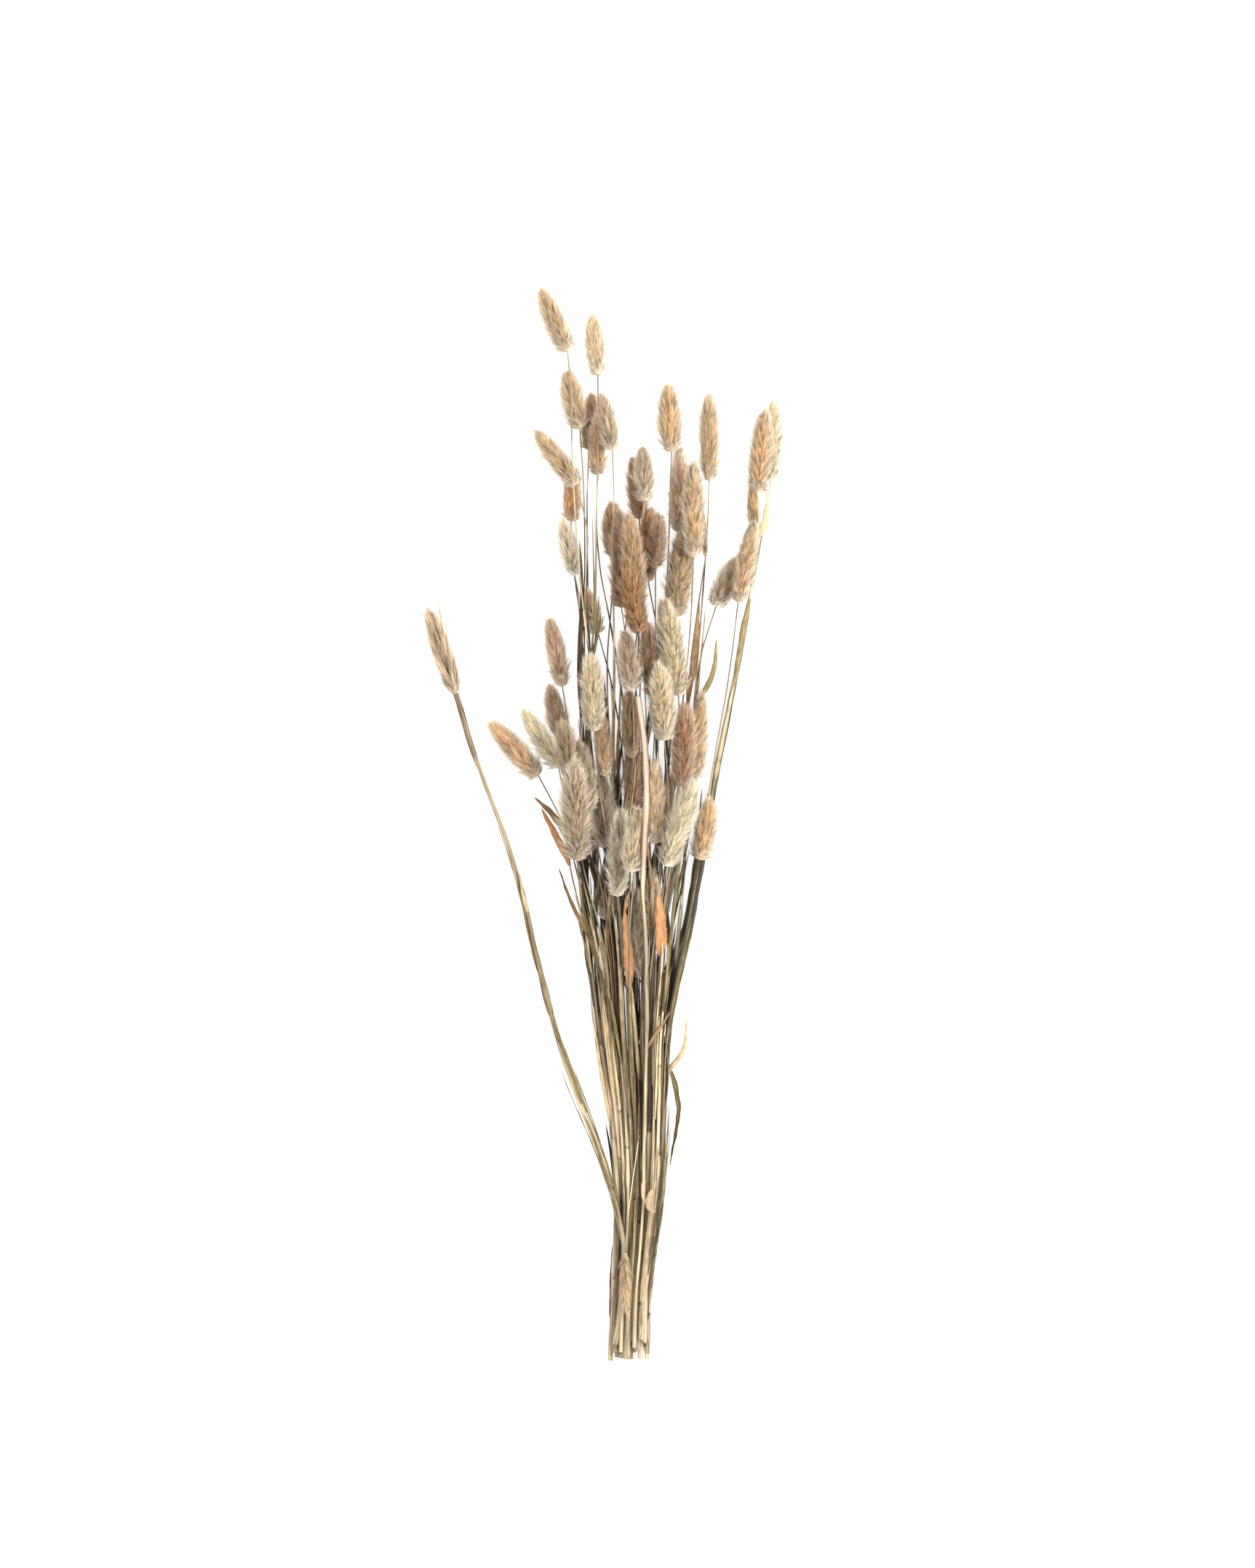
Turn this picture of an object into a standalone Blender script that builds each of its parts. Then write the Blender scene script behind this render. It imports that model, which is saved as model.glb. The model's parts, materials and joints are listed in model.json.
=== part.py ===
"""A bunch of dried bunny tail grass, laid down on a flat surface.

Each stalk is one body: a thin stem that thickens towards its cut foot, the soft
oval head on its tip, and the dry leaves that still hang on it. The stalks fan
out from a narrow waist near the feet. They lie along Y with the heads at +Y,
and they are laid down one after another, each on those already there.

The frame has its origin in the middle of the bunch, on the surface, with +Z up.
"""

import copy
import math
import random

import bmesh
import bpy
import numpy as np
from mathutils import Matrix, Vector

MM = 0.001
SEED = 11
WELD = 0.00001

# Stems, in millimetres
NECK_RADIUS = 0.62
FOOT_RADIUS = 1.2
FOOT_RADIUS_ON_TOP = 1.6
NECK_LENGTH = 35
THICKENING = 190
STATION_STEP = 27
STRAW_TIP_RADIUS = 1.9
HEAD_GRIP = 0.3
FOOT_Y = -290
FOOT_SPREAD = 6

# Heads: raised tufts over a slimmer body
HEAD_SIDES = 7
HEAD_RINGS = 6
HEAD_BODY = 0.76
TUFT_LEAN = 0.05
HEAD_FULLNESS = 0.75
HEAD_ROUNDNESS = 2.4

# Dry leaves
LEAF_THICKNESS = 0.7
LEAF_TILT = 0.3
LEAF_TWIST = 0.25
LEAF_LEAST_SHARE = 0.35
LEAF_SWELL_FROM = 0.12
LEAF_SWELL_TO = 0.92

# How the stalks lie on each other, in millimetres
LEVEL_STEP = 2.0
LOWEST_LEVEL = -306.0
HIGHEST_LEVEL = 306.0
CLEARANCE = 0.34
STEM_SINK = 0.2
HEAD_SINK = 0.9
STEM_STIFFNESS = 6.0e5
NECK_STIFFNESS = 2.0e5
LEAF_STIFFNESS = 1.0e5
HEAD_WEIGHT = 60.0
LEAF_WEIGHT = 1.0
CONTACT_STIFFNESS = 1.0e5
PIN_STIFFNESS = 1.0e7
NEWTON_ROUNDS = 80
SMALLEST_SHARE = 1.0e-3
SETTLED = 1.0e-3
LANES = 6
LANE_STAGGER = 0.25
SWAY_TRIES = (0.0, -3.0, 3.0, -6.0, 6.0)
SWAY_BELOW_HEAD = 55
SHARE_OF_PEAK = 0.3
SHARE_OF_SWAY = 0.05
ROUND_END_CARE = 0.7
GUIDE_MARGIN = 30

# The bunch's left and right edge at each height, seen from above
BUNDLE_Y = (-300, -290, -248, -228, -187, -147, -106, -66, -25)
BUNDLE_LEFT = (0, 1, 3, 4, 5, -2, -8, -13, -20)
BUNDLE_RIGHT = (26, 26, 26, 31, 34, 36, 38, 44, 52)
GUIDE_Y = (-262, -215, -165, -115, -65)

# The block below the surface, in metres, that flattens what is pressed on it
BLOCK_SIZE = (0.5, 1.0, 0.05)

# The colour and roughness of each finish
FINISHES = {
    "straw": ((0.56, 0.47, 0.27), 0.7),
    "tan": ((0.58, 0.38, 0.21), 0.95),
    "light_tan": ((0.64, 0.47, 0.29), 0.95),
    "orange_tan": ((0.61, 0.35, 0.17), 0.95),
    "rosy_brown": ((0.38, 0.22, 0.14), 0.95),
    "brown": ((0.30, 0.19, 0.10), 0.95),
    "dark_brown": ((0.16, 0.09, 0.05), 0.95),
    "cream_olive": ((0.54, 0.46, 0.26), 0.95),
    "cream": ((0.64, 0.54, 0.37), 0.95),
    "olive_grey": ((0.31, 0.27, 0.16), 0.95),
    "grey_tan": ((0.40, 0.31, 0.22), 0.95),
    "leaf_orange": ((0.64, 0.26, 0.10), 0.75),
    "leaf_brown": ((0.27, 0.18, 0.09), 0.8),
    "leaf_olive": ((0.29, 0.25, 0.13), 0.75),
    "leaf_pale": ((0.62, 0.53, 0.36), 0.7),
}

# The stalks from the lowest layer to the topmost, in millimetres: the head's tone,
# where the head starts and ends, its width, and points that its stem passes.
STALKS = (
    ("orange_tan", (-19, 171), (-18, 200), 10.1, ((-12, 100),)),
    ("cream_olive", (92, 193), (94, 238), 8.1, ((87, 160), (76, 105), (67, 52), (55, 2), (46, -50))),
    ("light_tan", (83, 168), (82, 191), 7.3, ((81, 128), (72, 78), (62, 30), (50, -40))),
    ("rosy_brown", (41, 165), (42, 213), 11.4, ()),
    ("brown", (62, 124), (75, 150), 12.2, ((56, 112), (52, 80))),
    ("rosy_brown", (19, 173), (16, 207), 10.5, ()),
    ("dark_brown", (24, 137), (25, 162), 8.9, ((28, 117),)),
    ("tan", (58, 193), (58, 242), 10.5, ((54, 125), (49, 60))),
    ("grey_tan", (-9, 212), (-7, 242), 9.7, ((-10, 160), (-9, 110))),
    ("grey_tan", (-17, 141), (-24, 172), 10.9, ((-13, 125), (-11, 80))),
    ("light_tan", (-4, 109), (-12, 133), 10.9, ()),
    ("orange_tan", (-4, 197), (-5, 229), 9.7, ((-5, 160),)),
    ("tan", (-14, 222), (-22, 254), 12.2, ((-12, 185), (-11, 149))),
    ("tan", (-16, 192), (-39, 221), 10.9, ((-12, 186), (-11, 149), (-9, 100))),
    ("tan", (23, 151), (25, 178), 9.7, ()),
    ("grey_tan", (22, 182), (21, 212), 11.4, ()),
    ("brown", (28, 145), (30, 174), 10.1, ((28, 131),)),
    ("orange_tan", (85, 186), (89, 233), 12.2, ((86, 161), (80, 125), (62, 32), (52, -25), (46, -62))),
    ("tan", (5, 151), (4, 181), 12.2, ()),
    ("brown", (9, 123), (8, 177), 12.2, ()),
    ("leaf_brown", (56, 151), (54, 178), 4.0, ((52, 125), (48, 96), (45, 50))),
    ("tan", (74, 126), (83, 171), 10.5, ((70, 90), (62, 45), (54, -8), (47, -50))),
    ("tan", (-21, 266), (-36, 300), 12.2, ((-19, 259), (-19, 226), (-17, 180), (-12, 120))),
    ("grey_tan", (4, 211), (-2, 241), 10.9, ((4, 160), (5, 110))),
    ("orange_tan", (37, 210), (35, 247), 13.0, ((36, 178), (35, 145))),
    ("light_tan", (-4, 252), (-7, 285), 10.9, ((-4, 215), (-5, 160), (-6, 110))),
    ("cream_olive", (39, 118), (45, 169), 13.8, ()),
    ("tan", (49, 150), (49, 204), 12.2, ()),
    ("tan", (18, 125), (13, 175), 12.6, ()),
    ("tan", (51, 28), (54, 76), 9.7, ()),
    ("brown", (-24, 51), (-32, 79), 10.9, ()),
    ("rosy_brown", (-24, 80), (-31, 117), 10.9, ((-21, 64), (-17, 20))),
    ("dark_brown", (0, -50), (0, -21), 8.9, ()),
    ("dark_brown", (-1, -11), (-2, 31), 12.5, ()),
    ("tan", (0, 28), (-2, 64), 9.7, ()),
    ("olive_grey", (19, -84), (18, -34), 8.9, ()),
    ("brown", (16, 8), (15, 53), 10.5, ()),
    ("grey_tan", (31, -7), (36, 28), 9.7, ()),
    ("orange_tan", (28, -62), (26, -23), 8.9, ()),
    ("brown", (28, 71), (23, 114), 11.4, ()),
    ("dark_brown", (15, 38), (13, 76), 10.5, ()),
    ("brown", (15, 76), (11, 109), 12.2, ()),
    ("light_tan", (19, 108), (12, 149), 12.2, ()),
    ("cream_olive", (41, 73), (33, 128), 13.8, ()),
    ("orange_tan", (53, -17), (59, 17), 12.2, ((49, -40),)),
    ("olive_grey", (-8, 11), (-15, 49), 11.4, ()),
    ("light_tan", (28, -9), (28, 38), 9.7, ()),
    ("cream_olive", (-26, 34), (-46, 66), 10.5, ((-21, 10),)),
    ("olive_grey", (-19, 26), (-24, 60), 11.4, ()),
    ("rosy_brown", (43, 24), (45, 69), 13.8, ()),
    ("orange_tan", (-37, 29), (-64, 59), 12.2, ((-31, 24), (-24, 7), (-20, -20))),
    ("cream_olive", (-6, 53), (-8, 97), 12.6, ()),
    ("olive_grey", (7, -38), (9, 11), 12.2, ()),
    ("cream_olive", (33, 48), (30, 92), 13.8, ()),
    ("cream", (34, -20), (50, 26), 13.0, ()),
    ("grey_tan", (-15, -18), (-17, 39), 16.2, ((-12, -50),)),
    ("cream_olive", (14, -23), (19, 11), 12.2, ()),
    (
        "straw",
        (18, 74),
        (18, 74),
        0,
        ((21, 56), (23, 36), (23, 15), (22, -8), (19, -25), (22, -45), (23, -90)),
    ),
    (
        "grey_tan",
        (-84, 75),
        (-98, 120),
        10.9,
        (
            (-78, 56),
            (-70, 32),
            (-54, -9),
            (-47, -32),
            (-41, -60),
            (-29, -108),
            (-13, -154),
            (4, -200),
            (11, -232),
        ),
    ),
)

# A short broken stalk lies upside down on the feet: the same fields, with its foot.
FALLEN_STALK = ("cream", (11, -237), (12, -270), 9.7, ((14, -205),))
FALLEN_FOOT = (19, -171)

# Leaves, in millimetres: the stalk's number, where it leaves the stem, its route,
# its width and its finish.
LEAVES = (
    (59, 52, ((-83, 80), (-88, 102), (-93, 126)), 4.0, "leaf_pale"),
    (59, -60, ((-45, -42), (-48, -26)), 2.6, "leaf_pale"),
    (59, -150, ((-23, -128), (-28, -112)), 3.2, "leaf_pale"),
    (51, -4, ((-30, 8), (-40, 17)), 3.4, "leaf_orange"),
    (51, -22, ((-26, -6), (-36, 12)), 2.8, "leaf_orange"),
    (56, -60, ((-19, -42), (-26, -22)), 2.2, "leaf_brown"),
    (53, -90, ((12, -66), (10, -46), (15, -30)), 4.6, "leaf_orange"),
    (55, -74, ((31, -54), (29, -34)), 4.6, "leaf_orange"),
    (18, 128, ((75, 103), (71, 77)), 3.0, "leaf_olive"),
    (5, 68, ((60, 84), (62, 106)), 3.0, "leaf_olive"),
    (2, 172, ((94, 194), (99, 220)), 3.0, "leaf_olive"),
    (18, 158, ((91, 176), (90, 190)), 5.0, "leaf_pale"),
    (22, -128, ((41, -148), (36, -189)), 3.2, "leaf_olive"),
    (22, -138, ((44, -124), (45, -104)), 2.4, "leaf_pale"),
    (21, 70, ((50, 96), (52, 125)), 3.6, "leaf_brown"),
    (58, -122, ((30, -112), (35, -104), (37, -100)), 1.6, "leaf_brown"),
    (58, -196, ((20, -204), (27, -214)), 4.0, "leaf_pale"),
)


class Limb:
    """A stem with its head, or a leaf, as a chain of round slices at the levels."""

    def __init__(self, levels, low, high):
        self.inside = (levels >= low) & (levels <= high)
        self.x = np.full(len(levels), np.nan)
        self.z = np.full(len(levels), np.nan)
        self.r = np.full(len(levels), np.nan)

    def mirrored(self):
        """The same slices with Y turned round."""
        twin = copy.copy(self)
        twin.inside, twin.x, twin.z, twin.r = self.inside[::-1], self.x[::-1], self.z[::-1], self.r[::-1]
        return twin


def smooth_step(value):
    """0 below 0, 1 above 1, and a soft rise between."""
    value = min(1.0, max(0.0, value))
    return value * value * (3 - 2 * value)


def stem_radius(below_head, foot_radius):
    """The stem's radius at a distance below its head: thin neck, thick sheathed foot."""
    growth = smooth_step((below_head - NECK_LENGTH) / THICKENING)
    return NECK_RADIUS + (foot_radius - NECK_RADIUS) * growth


def head_swell(along):
    """The head's radius from 0 at its base to 1 at its widest and 0 at its tip."""
    along = min(1.0, max(0.0, along))
    return math.sqrt(1 - abs(2 * along**HEAD_FULLNESS - 1) ** HEAD_ROUNDNESS)


def lane_point(lane, y):
    """The place across the bundle, 0 at its left edge and 1 at its right."""
    left = np.interp(y, BUNDLE_Y, BUNDLE_LEFT) + FOOT_RADIUS_ON_TOP
    right = np.interp(y, BUNDLE_Y, BUNDLE_RIGHT) - FOOT_RADIUS_ON_TOP
    return float(left + lane * (right - left))


def smooth_route(points, wanted, last_slope=None):
    """x at each wanted y, on a smooth curve through (x, y) points in rising y."""
    x = np.array([point[0] for point in points], float)
    y = np.array([point[1] for point in points], float)
    secant = np.diff(x) / np.diff(y)
    slope = np.empty(len(x))
    slope[0] = secant[0]
    slope[-1] = secant[-1] if last_slope is None else last_slope
    gap = np.diff(y)
    slope[1:-1] = (secant[:-1] * gap[1:] + secant[1:] * gap[:-1]) / (gap[1:] + gap[:-1])
    cell = np.clip(np.searchsorted(y, wanted) - 1, 0, len(y) - 2)
    h = gap[cell]
    t = (wanted - y[cell]) / h
    return (
        (1 + 2 * t) * (1 - t) ** 2 * x[cell]
        + t * (1 - t) ** 2 * h * slope[cell]
        + t * t * (3 - 2 * t) * x[cell + 1]
        - t * t * (1 - t) * h * slope[cell + 1]
    )


def lowest_allowed(limb, others, sink):
    """The least z of the limb at each level, on the surface or on what lies there."""
    floor = limb.r - sink
    for other in others:
        reach = limb.r + other.r + CLEARANCE
        apart = limb.x - other.x
        touching = np.abs(apart) < reach
        rise = np.sqrt(np.where(touching, reach**2 - apart**2, 0))
        floor = np.where(touching, np.fmax(floor, other.z + rise), floor)
    return np.where(limb.inside, floor, -np.inf)


def drape(stations, floor, levels, stiffness, weights, held=None):
    """Heights at the stations of a springy chain that lies under its own weight.

    It is the lowest energy of bending, weight and contact with the floor below,
    which Newton's method with a line search finds. The held height pins the first
    station.
    """
    inside = np.isfinite(floor)
    y = levels[inside]
    need = floor[inside]
    count = len(stations)
    length = np.diff(stations)
    cell = np.clip(np.searchsorted(stations, y) - 1, 0, count - 2)
    t = np.clip((y - stations[cell]) / length[cell], 0, 1)
    at_level = np.zeros((len(y), count))
    at_level[np.arange(len(y)), cell] = 1 - t
    at_level[np.arange(len(y)), cell + 1] += t
    turn = np.zeros((count - 2, count))
    for k in range(count - 2):
        turn[k, k] = 1 / length[k]
        turn[k, k + 1] = -1 / length[k] - 1 / length[k + 1]
        turn[k, k + 2] = 1 / length[k + 1]
    spring = stiffness / ((length[:-1] + length[1:]) / 2)
    bending = turn.T @ (turn * spring[:, None])
    bending[0, 0] += PIN_STIFFNESS if held is not None else 0
    pull = weights.copy()
    pull[0] -= PIN_STIFFNESS * held if held is not None else 0

    def energy(z):
        depth = np.maximum(need - at_level @ z, 0)
        return 0.5 * z @ bending @ z + pull @ z + 0.5 * CONTACT_STIFFNESS * depth @ depth

    heights = np.full(count, float(need.max()) if held is None else held)
    for _ in range(NEWTON_ROUNDS):
        depth = need - at_level @ heights
        pressed = at_level[depth > 0]
        slope = bending @ heights + pull - CONTACT_STIFFNESS * pressed.T @ depth[depth > 0]
        curve = bending + CONTACT_STIFFNESS * pressed.T @ pressed + np.eye(count)
        step = -np.linalg.solve(curve, slope)
        share = 1.0
        here = energy(heights)
        while share > SMALLEST_SHARE and energy(heights + share * step) > here:
            share /= 2
        heights = heights + share * step
        if np.abs(step).max() < SETTLED:
            break
    return heights


class Stalk:
    """A stem from its foot to its head, laid on what is already there.

    An upside-down stalk is worked out with Y turned round, and turned back at the end.
    """

    def __init__(self, fields, levels, feet, foot_radius, upside_down=False):
        self.tone, base, tip, width, passes = fields
        self.radius = width / 2
        self.levels = levels
        self.foot_radius = foot_radius
        self.turned = -1 if upside_down else 1
        self.base = (base[0], self.turned * base[1])
        self.tip = (tip[0], self.turned * tip[1])
        seen = [(x, self.turned * y) for x, y in passes]
        self.seen = sorted(seen, key=lambda point: point[1])
        lowest = self.seen[0][1] if seen else self.base[1]
        feet = [(x, self.turned * y) for x, y in feet]
        self.feet = [feet[0]] + [point for point in feet[1:] if point[1] < lowest - GUIDE_MARGIN]
        self.foot_y = feet[0][1]
        self.lean = 0
        if self.radius:
            self.lean = (self.tip[0] - self.base[0]) / (self.tip[1] - self.base[1])
        self.leaves = []

    def route(self, sway):
        """The stem's points from the foot up.

        Where no seen point fixes it, the stem may sway aside below its head.
        """
        guides = list(self.feet)
        top = self.seen[0] if self.seen else self.base
        bend_y = top[1] - SWAY_BELOW_HEAD
        if sway and bend_y > guides[-1][1] + STATION_STEP:
            share = (bend_y - guides[-1][1]) / (top[1] - guides[-1][1])
            straight = guides[-1][0] + share * (top[0] - guides[-1][0])
            guides.append((straight + sway, bend_y))
        return guides + self.seen + [self.base]

    def thickness(self, y):
        """The stem's radius at one height."""
        below_head = self.base[1] - y
        if self.radius:
            return stem_radius(below_head, self.foot_radius)
        share = below_head / (self.base[1] - self.foot_y)
        return STRAW_TIP_RADIUS + (self.foot_radius - STRAW_TIP_RADIUS) * share

    def stem_stations(self):
        """The heights where the stem has a point: the foot, evenly up, and the base."""
        count = max(2, round((self.base[1] - self.foot_y) / STATION_STEP))
        return np.linspace(self.foot_y, self.base[1], count + 1)

    def stations(self):
        """The stem's stations, and the head's tip."""
        stem = self.stem_stations()
        return np.append(stem, self.tip[1]) if self.radius else stem

    def stem_x(self, sway):
        """x at each station of the stem."""
        last_slope = self.lean if self.radius else None
        return smooth_route(self.route(sway), self.stem_stations(), last_slope)

    def limb(self, sway):
        """The slices of the stalk, without their heights."""
        levels = self.levels
        limb = Limb(levels, self.foot_y, self.tip[1])
        stem_x = np.interp(levels, self.stem_stations(), self.stem_x(sway))
        on_head = levels > self.base[1]
        head_x = self.base[0] + (levels - self.base[1]) * self.lean
        x = np.where(on_head, head_x, stem_x)
        slant = np.sqrt(1 + np.gradient(x, levels) ** 2)
        limb.x = np.where(limb.inside, x, np.nan)
        long = max(self.tip[1] - self.base[1], LEVEL_STEP)
        for k in np.flatnonzero(limb.inside):
            radius = self.thickness(levels[k])
            if on_head[k]:
                swell = head_swell((levels[k] - self.base[1]) / long)
                radius = max(self.radius * swell**ROUND_END_CARE, NECK_RADIUS)
            limb.r[k] = radius * slant[k]
        return limb

    def over(self, sway, others):
        """The slices, and the least height at each level, for one sway."""
        limb = self.limb(sway)
        sink = np.where(self.levels > self.base[1], HEAD_SINK, STEM_SINK)
        return limb, lowest_allowed(limb, others, sink)

    def drop(self, limb, floor):
        """Let the stalk drop on what is there."""
        stations = self.stations()
        length = np.diff(stations)
        stiffness = np.full(len(length) - 1, STEM_STIFFNESS)
        stiffness[-2:] = NECK_STIFFNESS
        weights = np.zeros(len(stations))
        weights[:-1] += length / 2
        weights[1:] += length / 2
        weights[-2:] += HEAD_WEIGHT / 2 if self.radius else 0
        heights = drape(stations, floor, self.levels, stiffness, weights)
        limb.z = np.where(limb.inside, np.interp(self.levels, stations, heights), np.nan)
        spare = np.nanmin(np.where(limb.inside, limb.z - floor, np.nan))
        limb.z = limb.z - spare
        return heights - spare

    def place(self, others):
        """Drop the stalk where it has the least below it, and give its slices."""
        if self.turned < 0:
            others = [other.mirrored() for other in others]
        best = None
        for sway in SWAY_TRIES:
            limb, floor = self.over(sway, others)
            under = floor[limb.inside]
            cost = under.mean() + SHARE_OF_PEAK * under.max() + SHARE_OF_SWAY * abs(sway)
            if best is None or cost < best[0]:
                best = (cost, sway, limb, floor)
        _, self.sway, limb, floor = best
        self.heights = self.drop(limb, floor)
        self.limb_here = limb.mirrored() if self.turned < 0 else limb
        return self.limb_here

    def points(self):
        """The stem's points in space, a radius each, and the head's base and tip."""
        y = self.stem_stations()
        x = self.stem_x(self.sway)
        places = [Vector((x[k], self.turned * y[k], self.heights[k])) for k in range(len(y))]
        radii = [self.thickness(height) for height in y]
        base = places[-1]
        tip = Vector((self.tip[0], self.turned * self.tip[1], self.heights[-1]))
        if self.radius:
            places.append(base.lerp(tip, HEAD_GRIP))
            radii.append(NECK_RADIUS)
        return places, radii, base, tip


def tube(name, places, radii):
    """A four-sided tube through the places, as a closed mesh."""
    data = bpy.data.curves.new(name, "CURVE")
    data.dimensions = "3D"
    data.bevel_depth = MM
    data.bevel_resolution = 0
    data.use_fill_caps = True
    spline = data.splines.new("POLY")
    spline.points.add(len(places) - 1)
    for point, place, radius in zip(spline.points, places, radii):
        point.co = (*(place * MM), 1)
        point.radius = radius
    curve = bpy.data.objects.new(name, data)
    bpy.context.scene.collection.objects.link(curve)
    return as_mesh(curve, name)


def as_mesh(source, name):
    """The evaluated object as a mesh with welded seams, in place of the object."""
    bpy.context.view_layer.update()
    graph = bpy.context.evaluated_depsgraph_get()
    mesh = bpy.data.meshes.new_from_object(source.evaluated_get(graph))
    work = bmesh.new()
    work.from_mesh(mesh)
    bmesh.ops.remove_doubles(work, verts=work.verts, dist=WELD)
    bmesh.ops.recalc_face_normals(work, faces=work.faces)
    work.to_mesh(mesh)
    work.free()
    mesh.materials.clear()
    made = bpy.data.objects.new(name, mesh)
    made.matrix_world = source.matrix_world
    bpy.data.objects.remove(source)
    bpy.context.scene.collection.objects.link(made)
    return made


def head(name, base, tip, radius, turn):
    """An oval head from a sphere, with a raised tuft leaning to the tip on each cell."""
    work = bmesh.new()
    bmesh.ops.create_uvsphere(work, u_segments=HEAD_SIDES, v_segments=HEAD_RINGS, radius=1.0)
    axis = tip - base
    facing = axis.to_track_quat("Z", "Y").to_matrix()
    cells = [face for face in work.faces if len(face.verts) == 4]
    made = bmesh.ops.poke(work, faces=cells)
    tufts = set(made["verts"])
    for vertex in work.verts:
        along = (1 + vertex.co.z) / 2
        around = math.atan2(vertex.co.y, vertex.co.x) + turn + math.pi / HEAD_SIDES * HEAD_RINGS * along
        if vertex in tufts:
            out = radius * head_swell(along)
            along = min(1.0, along + TUFT_LEAN)
        else:
            out = radius * head_swell(along) * HEAD_BODY
        side = facing @ Vector((math.cos(around), math.sin(around), 0))
        vertex.co = (base + axis * along + side * out) * MM
    bmesh.ops.recalc_face_normals(work, faces=work.faces)
    mesh = bpy.data.meshes.new(name)
    work.to_mesh(mesh)
    work.free()
    made = bpy.data.objects.new(name, mesh)
    bpy.context.scene.collection.objects.link(made)
    return made


def blade(name, places, widths, turns):
    """A leaf blade: a strip along the places, turned about its length, with thickness."""
    work = bmesh.new()
    bmesh.ops.create_grid(work, x_segments=1, y_segments=len(places) - 1, size=1.0)
    for vertex in work.verts:
        k = round((vertex.co.y + 1) / 2 * (len(places) - 1))
        ahead = (places[min(k + 1, len(places) - 1)] - places[max(k - 1, 0)]).normalized()
        flat = ahead.cross(Vector((0, 0, 1))).normalized()
        side = Matrix.Rotation(turns[k], 3, ahead) @ flat
        vertex.co = (places[k] + side * widths[k] / 2 * vertex.co.x) * MM
    bmesh.ops.triangulate(work, faces=work.faces)
    bmesh.ops.recalc_face_normals(work, faces=work.faces)
    mesh = bpy.data.meshes.new(name)
    work.to_mesh(mesh)
    work.free()
    strip = bpy.data.objects.new(name, mesh)
    bpy.context.scene.collection.objects.link(strip)
    wall = strip.modifiers.new("Thickness", "SOLIDIFY")
    wall.thickness = LEAF_THICKNESS * MM
    wall.offset = 0
    return as_mesh(strip, name)


def lay_leaf(levels, stalk, leave_y, route, width, others):
    """Slices and places of a leaf, from inside its stem along its route, on what is there."""
    stem_x = float(np.interp(leave_y, levels, stalk.limb_here.x))
    stem_z = float(np.interp(leave_y, levels, stalk.limb_here.z))
    whole = sorted(((stem_x, leave_y), *route), key=lambda point: point[1])
    away = 1.0 if route[-1][1] > leave_y else -1.0
    along = np.linspace(0, abs(route[-1][1] - leave_y), 2 * len(route) + 1)
    y = leave_y + away * along
    x = smooth_route(whole, y)
    rising = np.argsort(y)
    limb = Limb(levels, y.min(), y.max())
    limb.x = np.where(limb.inside, np.interp(levels, y[rising], x[rising]), np.nan)
    slant = np.sqrt(1 + np.gradient(np.interp(levels, y[rising], x[rising]), levels) ** 2)
    limb.r = np.where(limb.inside, (width + LEAF_THICKNESS) / 2 * slant, np.nan)
    strangers = [other for other in others if other is not stalk.limb_here]
    floor = lowest_allowed(limb, strangers, STEM_SINK)
    floor = np.where(np.abs(levels - leave_y) < width, -np.inf, floor)
    out = (levels - leave_y) * away
    order = np.argsort(out)
    stiffness = np.full(len(along) - 2, LEAF_STIFFNESS)
    weights = np.full(len(along), LEAF_WEIGHT)
    heights = drape(along, floor[order], out[order], stiffness, weights, held=stem_z)
    limb.z = np.where(limb.inside, np.interp(out, along, heights), np.nan)
    return limb, [Vector((x[k], y[k], heights[k])) for k in range(len(along))]


def leaf_widths(count, width):
    """A leaf's width along it: narrow at the stem, widest in the middle, a narrow tip."""
    swell = np.sin(np.pi * np.linspace(LEAF_SWELL_FROM, LEAF_SWELL_TO, count))
    return list(width * (LEAF_LEAST_SHARE + (1 - LEAF_LEAST_SHARE) * swell))


def finish(name):
    """The material of one finish, made once."""
    found = bpy.data.materials.get(name)
    if found:
        return found
    colour, roughness = FINISHES[name]
    material = bpy.data.materials.new(name)
    material.use_nodes = True
    shader = material.node_tree.nodes["Principled BSDF"]
    shader.inputs["Base Color"].default_value = (*colour, 1)
    shader.inputs["Roughness"].default_value = roughness
    shader.inputs["Metallic"].default_value = 0
    return material


def join(name, first, others, collection):
    """One body from the first object and the others, in the bunch's collection."""
    if others:
        pieces = bpy.data.collections.new(name + "_pieces")
        for piece in others:
            pieces.objects.link(piece)
        union = first.modifiers.new("Join", "BOOLEAN")
        union.operation = "UNION"
        union.solver = "EXACT"
        union.operand_type = "COLLECTION"
        union.collection = pieces
        joined = as_joined(first, name)
        for piece in list(pieces.objects):
            bpy.data.objects.remove(piece)
        bpy.data.collections.remove(pieces)
    else:
        joined = first
    bpy.context.scene.collection.objects.unlink(joined)
    collection.objects.link(joined)
    return joined


def as_joined(source, name):
    """The evaluated object as a new object, with its materials, in its place."""
    bpy.context.view_layer.update()
    graph = bpy.context.evaluated_depsgraph_get()
    mesh = bpy.data.meshes.new_from_object(source.evaluated_get(graph))
    bpy.data.objects.remove(source)
    made = bpy.data.objects.new(name, mesh)
    bpy.context.scene.collection.objects.link(made)
    return made


def surface_cutter(collection):
    """A block whose top is the surface, to flatten what is pressed on it."""
    work = bmesh.new()
    bmesh.ops.create_cube(work, size=1.0)
    bmesh.ops.scale(work, verts=work.verts, vec=BLOCK_SIZE)
    bmesh.ops.translate(work, verts=work.verts, vec=(0, 0, -BLOCK_SIZE[2] / 2))
    mesh = bpy.data.meshes.new("surface_block")
    work.to_mesh(mesh)
    work.free()
    block = bpy.data.objects.new("surface_block", mesh)
    collection.objects.link(block)
    block.hide_render = True
    block.display_type = "WIRE"
    return block


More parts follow.
